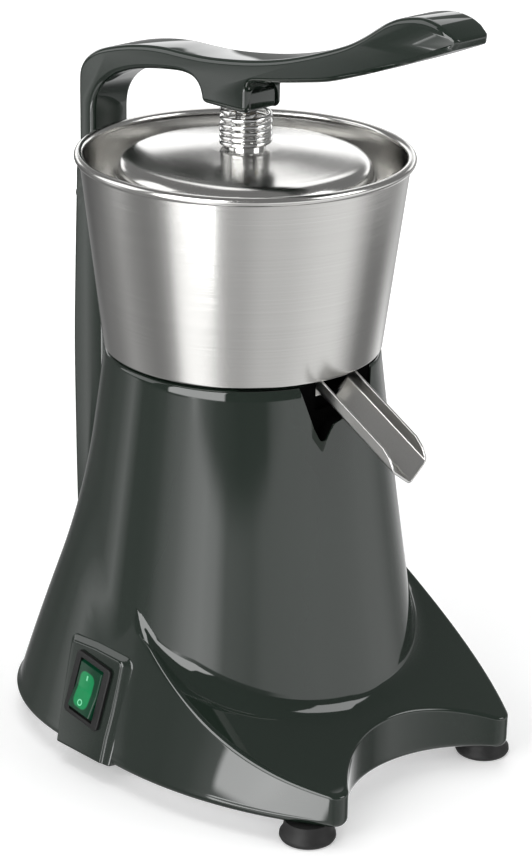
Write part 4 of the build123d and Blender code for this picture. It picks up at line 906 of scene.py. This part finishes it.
# Bowl: spun wall with a rolled rim, shoulder and seated cup
bowl = {
    "rim": 292.8, "rimR": 77.8, "bead": 2.2, "foot": 200.6, "footR": 66.7, "sheet": 1.0,
    "hub": ((13, 200), (13, 214), (14.2, 214)), "hubR": (13, 14.2), "cupR": 60, "floor": 190,
    "port": ((0, 200.3), (-10.4, 200.3), (-10.4, 196.6), (-3.2, 191.1), (3.2, 191.1), (10.4, 196.6),
             (10.4, 200.3)),
}


def makeBowl():
    c = bowl
    bead = arc((c["rimR"], c["rim"]), c["bead"], 222, -98, 30)
    sheet, low, floor = c["sheet"], c["foot"] + c["sheet"], c["floor"] + c["sheet"]
    hubIn, hubOut = c["hubR"]
    inside = list(c["hub"]) + [
        (hubOut, floor), (c["cupR"] - sheet, floor), (c["cupR"] - sheet, low), (c["footR"] - sheet, low),
    ]
    insideR = (0.4, 0.4, 2, 2, 1.5, 1.5)
    halfway = ((c["footR"] + c["rimR"]) / 2 - sheet, (low + c["rim"]) / 2)
    outside = [
        (c["footR"], c["foot"]), (c["cupR"], c["foot"]), (c["cupR"], c["floor"]), (hubIn, c["floor"]),
    ]
    outsideR = (1.6, 0.6, 2, 0.4)
    corners = inside + [halfway] + [tuple(p) for p in bead] + outside
    radii = np.concatenate([insideR, np.zeros(1 + len(bead)), outsideR])
    return turned("bowlSpun", closedLine(corners, radii), 240, closed=True)


bowlSpun = makeBowl()
carve(bowlSpun, plate("port", closedLine(bowl["port"], [0] * 6), -62, -57, 0, frontways, 1))
sharpen(bowlSpun, 40)
dress(bowlSpun, "stand", "spun_steel", spunSteel, "bowl")

# Press dome: flat crown, gentle cone, round shoulder and a beaded edge
dome = {
    "outer": ((16, 296.7), (26, 296.0), (38, 294.7), (50.5, 293.1), (55, 292.3), (58, 290.9),
              (59.8, 288.7), (60.6, 286.4), (60.8, 284.8)),
    "bead": ((60.8, 284.0), 1.2), "sheet": 1.2, "bore": 5.05, "top": 296.7,
}


def makeDome():
    outer = evenLine(dome["outer"], 60)
    ahead = unit(np.gradient(outer, axis=0))
    inner = outer + dome["sheet"] * np.stack([ahead[:, 1], -ahead[:, 0]], 1)
    bead = arc(*dome["bead"], 70, -180, 14)
    bore, top = dome["bore"], dome["top"]
    line = np.vstack([[(bore, top)], outer, bead, inner[::-1], [(bore, top - dome["sheet"])]])
    return turned("pressDome", line, 240, closed=True)


pressDome = makeDome()
sharpen(pressDome, 40)
dress(pressDome, "press_head", "spun_steel", spunSteel, "press_dome")
print("bowl and dome made")

# Spring: close turns below, open turns above, ends run on straight
spring = {"radius": 11.4, "wire": 1.1, "low": 298.1, "high": 314.6, "close": 3.0, "open": 2.5, "pitch": 2.7}


def makeSpring():
    c = spring
    turns = np.linspace(0, c["close"] + c["open"], 331)
    close = np.minimum(turns, c["close"])
    openPitch = (c["high"] - c["low"] - c["pitch"] * c["close"]) / c["open"]
    z = c["low"] + c["pitch"] * close + openPitch * (turns - close)
    z = np.convolve(np.pad(z, 12, mode="reflect", reflect_type="odd"), np.ones(25) / 25, "valid")
    way = 2 * math.pi * turns
    line = polar(c["radius"], way, z)
    ahead = unit(np.gradient(line, axis=0))
    aside = polar(1.0, way, 0.0)
    aside = unit(aside - ahead * (aside * ahead).sum(1)[:, None])
    rise = np.cross(ahead, aside)
    ring = np.arange(14) / 14 * 2 * math.pi
    tube = aside[:, None] * np.cos(ring)[None, :, None] + rise[:, None] * np.sin(ring)[None, :, None]
    ends = np.array([0.55, 0.85, 1.0])
    body = line[:, None] + c["wire"] * tube
    first = [line[0] - ahead[0] * c["wire"] + c["wire"] * s * tube[0] for s in ends]
    last = [line[-1] + ahead[-1] * c["wire"] + c["wire"] * s * tube[-1] for s in ends[::-1]]
    whole = np.concatenate([first, body, last])
    return gridPiece("springCoil", whole, closeV=True, capStart=True, capEnd=True)


springCoil = makeSpring()
dress(springCoil, "lever", "bright_steel", brightSteel, "press_spring")
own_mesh(springCoil)

# Spout: sloping trough with upright sides, a creased floor and rounded upper ends
spout = {
    "cross": ((-11.0, 0), (-10.8, 6.6), (0, 14.6), (10.8, 6.6), (11.0, 0)), "crossR": (1.6, 2.4, 1.6),
    "sheet": 1.2, "edge": 0.35, "cup": 60.3, "mouth": (-60.0, 202.3), "fall": 0.5385, "ceiling": 200.2,
    "shoulder": 6.6, "end": ((0, 2, 5, 7.5, 15), (7.2, 3.0, 0.9, 0.25, 0)), "reach": -110.5,
}


def makeSpout():
    c = spout
    cross = evenLine(roundedLine(c["cross"], c["crossR"], 8), 71)
    x, h = cross[None, :, 0], cross[None, :, 1]
    start = -np.sqrt(c["cup"] ** 2 - x ** 2)
    end = c["reach"] + np.interp(h, *c["end"])
    y = start + np.linspace(0, 1, 48)[:, None] * (end - start)
    edge = c["mouth"][1] + (y - c["mouth"][0]) * c["fall"]
    corner = edge - c["shoulder"]
    wall = corner + (np.minimum(edge, c["ceiling"]) - corner) * (1 - h / c["shoulder"])
    z = np.where(h < c["shoulder"], wall, edge - h)
    piece = gridPiece("spoutChannel", np.stack([np.broadcast_to(x, y.shape), y, z], -1))
    applyModifier(piece, "SOLIDIFY", thickness=c["sheet"] * mm, offset=0.0)
    applyModifier(piece, "BEVEL", width=c["edge"] * mm, segments=3, limit_method="ANGLE",
                  angle_limit=math.radians(50))
    smoothFaces(piece.data)
    return piece


spoutChannel = makeSpout()
dress(spoutChannel, "stand", "spun_steel", drawnSteel, "spout")
print("spring and spout made")

# Feet: low rubber cones
feet = {
    "profile": ((4.9, 5.2), (4.9, 0.7), (5.6, 0.1), (11.6, 0.02), (12.8, 0.5), (13.35, 1.6), (13.2, 3.0),
                (12.2, 4.2), (11.5, 6.4), (11.1, 9.2), (11.0, 10.0), (3.0, 10.0), (3.0, 5.2)),
    "places": {"front_left": (-61.7, -110.1), "front_right": (61.7, -110.1),
               "rear_left": (-62, 70), "rear_right": (62, 70)},
}
for side, place in feet["places"].items():
    foot = turned("foot_" + side + "_rubber", feet["profile"], 72, place, closed=True)
    sharpen(foot, 50)
    dress(foot, "stand", "black_rubber", blackRubber, "foot_" + side)
print("feet made")

# Rocker switch: black bezel with a pocket, and the green key on its axle, turned a little on the panel
switch = {
    "middle": (8.0, 33.155), "turn": 8.0, "bezel": (-12.6, -16.5, 12.2, 16.7), "proud": 1.8,
    "pocket": (-8.4, -14.05, 8.4, 14.05), "deep": -18.05,
    "body": (-11.0, -15.0, 11.0, 15.0), "depth": -22.0,
    "axis": -4.0, "key": 7.9, "radius": 13.7, "rise": 6.0, "tilt": 10.0, "roll": 0.7,
}


def makeSwitch():
    c = switch
    origin, across, up, out = (np.array(v, float) for v in panelAxes)
    turn = math.radians(c["turn"])
    middle = origin + c["middle"][0] * across + c["middle"][1] * up
    cos, sin = math.cos(turn), math.sin(turn)
    across, up = across * cos + up * sin, up * cos - across * sin
    axes = (middle, across, up, out)
    bezel = plate("bezel", boxLine(*c["bezel"], 2.4), -1.0, c["proud"], c["roll"], axes, 4)
    box = plate("switchBox", boxLine(*c["body"], 0.8), c["depth"], -0.5, 0.3, axes, 2)
    pocket = boxLine(*c["pocket"], 0.5)
    carve(bezel, plate("pocket", pocket, -5, 6, 0, axes, 1))
    carve(box, plate("pocket", pocket, c["deep"], 6, 0, axes, 1))
    rim = merged("switchBezel", [bezel, box])
    sharpen(rim, 40)
    dress(rim, "stand", "black_plastic", blackPlastic, "switch_body")
    # key in profile: two flats that meet over the axle, one of them tilted, on a round back
    radius, rise, slope = c["radius"], c["rise"], math.tan(math.radians(c["tilt"]))
    lowX = (rise * slope - math.sqrt(radius ** 2 * (1 + slope ** 2) - rise ** 2)) / (1 + slope ** 2) + 0.05
    lowEnd = math.degrees(math.atan2(rise - lowX * slope, lowX))
    highEnd = math.degrees(math.asin(rise / radius))
    line = np.vstack([
        [(0.6, rise), (0.0, rise + 0.02), (-0.6, rise + 0.12), (lowX, rise - lowX * slope)],
        arc((0, 0), radius, lowEnd, 360 + highEnd, 90)[1:],
    ])
    keyAxes = (middle + c["axis"] * out, up, out, across)
    key = plate("keyRocker", line, -c["key"], c["key"], c["roll"], keyAxes, 3)
    sharpen(key, 40)
    dress(key, "rocker", "green_key", greenKey, "switch_rocker")


makeSwitch()
print("switch made")

# Reamer: ribbed cone on a round foot, with its hub below
reamer = {
    "foot": ((5.5, 206.2), (11, 206.2), (11, 221.4), (11.8, 222), (38.4, 222), (39, 222.6), (39, 225.2),
             (38.2, 226)),
    "cone": ((36.2, 226.3), (35, 232), (32.4, 240), (28, 249.5), (22.6, 258), (16.2, 265.2), (9.6, 270.6),
             (4.2, 273.2), (0.6, 274)),
    "flutes": 8, "deep": 0.34,
}


def makeReamer():
    c = reamer
    foot = np.array(c["foot"])
    cone = evenLine(c["cone"], 56)
    line = np.vstack([foot, cone])
    share = np.linspace(0, 1, len(cone))
    cut = c["deep"] * ease(0, 0.14, share) * ease(1.02, 0.8, share)
    cut = np.concatenate([np.zeros(len(foot)), cut])
    way = np.arange(256) / 256 * 2 * math.pi
    wave = 1 - np.abs(np.cos(way * c["flutes"] / 2)) ** 0.8
    wave = np.convolve(np.concatenate([wave[-4:], wave, wave[:4]]), np.ones(9) / 9, "valid")
    radius = line[None, :, 0] * (1 - cut[None] * wave[:, None])
    return gridPiece("reamerCone", polar(radius, way[:, None], line[None, :, 1]), closeU=True)


reamerCone = makeReamer()
sharpen(reamerCone, 45)
dress(reamerCone, "rotor", "reamer_plastic", reamerPlastic, "reamer")
print("reamer made")


# CAD pieces that show as they are, each with the finish of its slot
carried = {
    "grey_paint": (greyPaint, ("hinge_pin", "stop_pin")),
    "spun_steel": (spunSteel, ("strainer",)),
    "bright_steel": (brightSteel, (
        "press_stem", "retaining_pin", "drive_shaft", "drive_pin", "rocker_axle",
        "upper_bearing_outer_race", "lower_bearing_outer_race", "upper_bearing_inner_race",
        "lower_bearing_inner_race", "upper_bearing_balls", "lower_bearing_balls")),
    "plated_steel": (platedSteel, (
        "base_plate", "foot_screws", "pillar_screws", "hinge_grub_screw", "stem_washer", "stem_nut",
        "motor_tie_bolts", "motor_mount_screws", "capacitor_clip")),
    "black_rubber": (blackRubber, ("shaft_seal",)),
    "motor_castings": (motorCastings, ("motor_upper_bell", "motor_lower_bell", "run_capacitor")),
    "laminations": (laminations, ("stator_core", "rotor_core")),
    "copper_wire": (copperWire, ("stator_windings",)),
    "bronze": (bronze, ("hinge_bushes", "stem_bush", "switch_terminals")),
    "black_plastic": (blackPlastic, ("cooling_fan", "terminal_block", "cord_gland", "gland_nut")),
}
for slotName, (material, names) in carried.items():
    for name in names:
        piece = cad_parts[name]
        piece.data.materials.clear()
        piece.data.materials.append(material)
print("inner pieces finished")


# Studio: pale floor that keeps the shadow, white behind the object, soft boxes, and a room for the gloss:
# brightness by degrees round the upright axis in three belts, with windows above them and a low sill, each
# from left to right and from its lower to its upper edge in degrees
studio = {
    "floor": 3.0, "lift": 0.66, "near": (0.45, 0.45, 0.45, 1), "fade": (0.2, 0.9), "world": 0.42,
    "room": 0.25, "top": 3.6, "soft": 1.2,
    "levelEdge": (-24.5, -21.0), "overEdge": (-7.7, -7.2), "upperEdge": (-6.0, -5.0),
    "low": ((0, 0.35), (10, 0.7), (25, 1.2), (50, 0.5), (77, 0.2), (102, 0.28), (120, 0.46),
            (135, 0.34), (147, 0.27), (157, 0.32), (166, 0.56), (173, 1.4), (180, 1.62), (190, 1.58),
            (197, 1.3), (204, 0.88), (213, 0.58), (224, 0.57), (240, 0.74), (262, 0.79), (287, 0.98),
            (305, 1.04), (313, 0.97), (322, 0.68), (336, 0.26), (352, 0.24)),
    "level": ((0, 0.45), (20, 0.7), (45, 0.35), (77, 0.14), (100, 0.22), (116, 0.47), (124, 1),
              (129, 1.4), (134, 0.9), (140, 0.4), (152, 0.42), (162, 0.6), (170, 1.18), (180, 1.7),
              (191, 2.8), (200, 3.3), (209, 2.8), (216, 1.3), (226, 1.14), (234, 1.03), (242, 1.33),
              (260, 1.45), (278, 1.52), (298, 1.42), (321, 1.3), (334, 1.05), (351, 0.5)),
    "over": ((0, 0.4), (11, 0.3), (50, 0.3), (77, 0.15), (100, 0.2), (118, 0.6), (128, 1.3),
             (132, 1.45), (136, 0.8), (139, 0.42), (145, 0.35), (176, 0.5), (182, 1.4), (187, 3.6),
             (192, 1.7), (197, 1), (206, 0.5), (224, 0.3), (244, 0.34), (250, 1), (261, 1.5),
             (281, 1.3), (303, 1.3), (330, 1.6), (347, 0.6)),
    "windows": ((165, 212, -5.5, 40, 6.0), (278, 312, 12, 40, 4.0), (26, 56, 27, 60, 1.6),
                (5, 85, 3, 16, 1.5), (110, 150, 3, 45, 1.8)),
    "sill": (170, 203, -19.2, -12, 5.6, 0.39),
    "aim": (0, 0, 0.15),
    "boxes": {
        "keyBox": ((-1.80, -0.10, 0.95), (1.2, 1.2), 15),
        "fillBox": ((0.76, -1.63, 0.98), (1.0, 1.0), 9),
        "topBox": ((0.1, 0.3, 2.0), (1.6, 1.2), 15),
    },
}


# each belt takes over from the one below it as the view rises past its edge
def roomLight(tree):
    c = studio
    x, y, z = coordinates(tree, node(tree, "ShaderNodeTexCoord", output="Generated"))
    around = y.math("ARCTAN2", y, x) / (2 * math.pi)
    around = around.math("FRACT", around)
    rise = z.math("ARCSINE", z) * (180 / math.pi)

    def ramp(stops):
        grey = [(turn / 360, (level / c["top"],) * 3 + (1,)) for turn, level in stops]
        settings = {"stops": grey + [(1.0, grey[0][1])]}
        return node(tree, "ShaderNodeValToRGB", settings, {0: around}) * c["top"]

    degrees, soft = around * 360, c["soft"]

    def between(value, low, high):
        above = smoothStep(tree, value, low - soft, low + soft)
        return above * smoothStep(tree, value, high + soft, high - soft)

    def pane(left, right, low, high, level, slant=0.0):
        height = rise + (degrees - left) * slant
        return level * between(degrees, left, right) * between(height, low, high)

    upper = sum((pane(*window) for window in c["windows"]), c["room"])
    room = ramp(c["low"])
    belts = {"levelEdge": ramp(c["level"]), "overEdge": ramp(c["over"]), "upperEdge": upper}
    for edge, belt in belts.items():
        room = room + (belt - room) * smoothStep(tree, rise, *c[edge])
    return room + pane(*c["sill"])


def makeStudio():
    world = bpy.data.worlds.new("studio")
    scene.world = world
    world.use_nodes = True
    tree = world.node_tree
    back = tree.nodes["Background"]
    path = tree.nodes.new("ShaderNodeLightPath")
    rays = ("Camera", "Glossy", "Transmission")
    camera, glossy, through = (Sock(tree, path.outputs["Is " + ray + " Ray"]) for ray in rays)
    seen = (camera + through).math("MINIMUM", camera + through, 1.0)
    plain = seen * (1 - studio["world"]) + studio["world"]
    back.inputs["Color"].default_value = (1, 1, 1, 1)
    tree.links.new((plain + (roomLight(tree) - plain) * glossy).socket, back.inputs["Strength"])
    size = studio["floor"]
    mesh = bpy.data.meshes.new("floor")
    corners = [(-size, -size, 0), (size, -size, 0), (size, size, 0), (-size, size, 0)]
    mesh.from_pydata(corners, [], [(0, 1, 2, 3)])
    floor = linked("floor", mesh)
    floor.visible_glossy = False
    material, tree, shader, place = newMaterial("floorWhite")
    camera = node(tree, "ShaderNodeLightPath", output="Is Camera Ray")
    x, y, z = coordinates(tree, place)
    away = smoothStep(tree, (x * x + y * y) ** 0.5, *studio["fade"])
    setSockets(tree, shader, {
        "Base Color": (0.9, 0.9, 0.9, 1),
        "Roughness": 0.6,
        "Specular IOR Level": 0.0,
        "Emission Color": mixColour(tree, away, studio["near"], (1, 1, 1, 1)),
        "Emission Strength": camera * studio["lift"],
    })
    mesh.materials.append(material)


def softBox(name, place, size, power):
    data = bpy.data.lights.new(name, "AREA")
    data.shape = "RECTANGLE"
    data.size, data.size_y = size
    data.energy = power
    lamp = linked(name, data)
    lamp.location = place
    lamp.rotation_euler = (Vector(studio["aim"]) - Vector(place)).to_track_quat("-Z", "Y").to_euler()
    lamp.visible_glossy = False


makeStudio()
for name, box in studio["boxes"].items():
    softBox(name, *box)
print("studio lit")
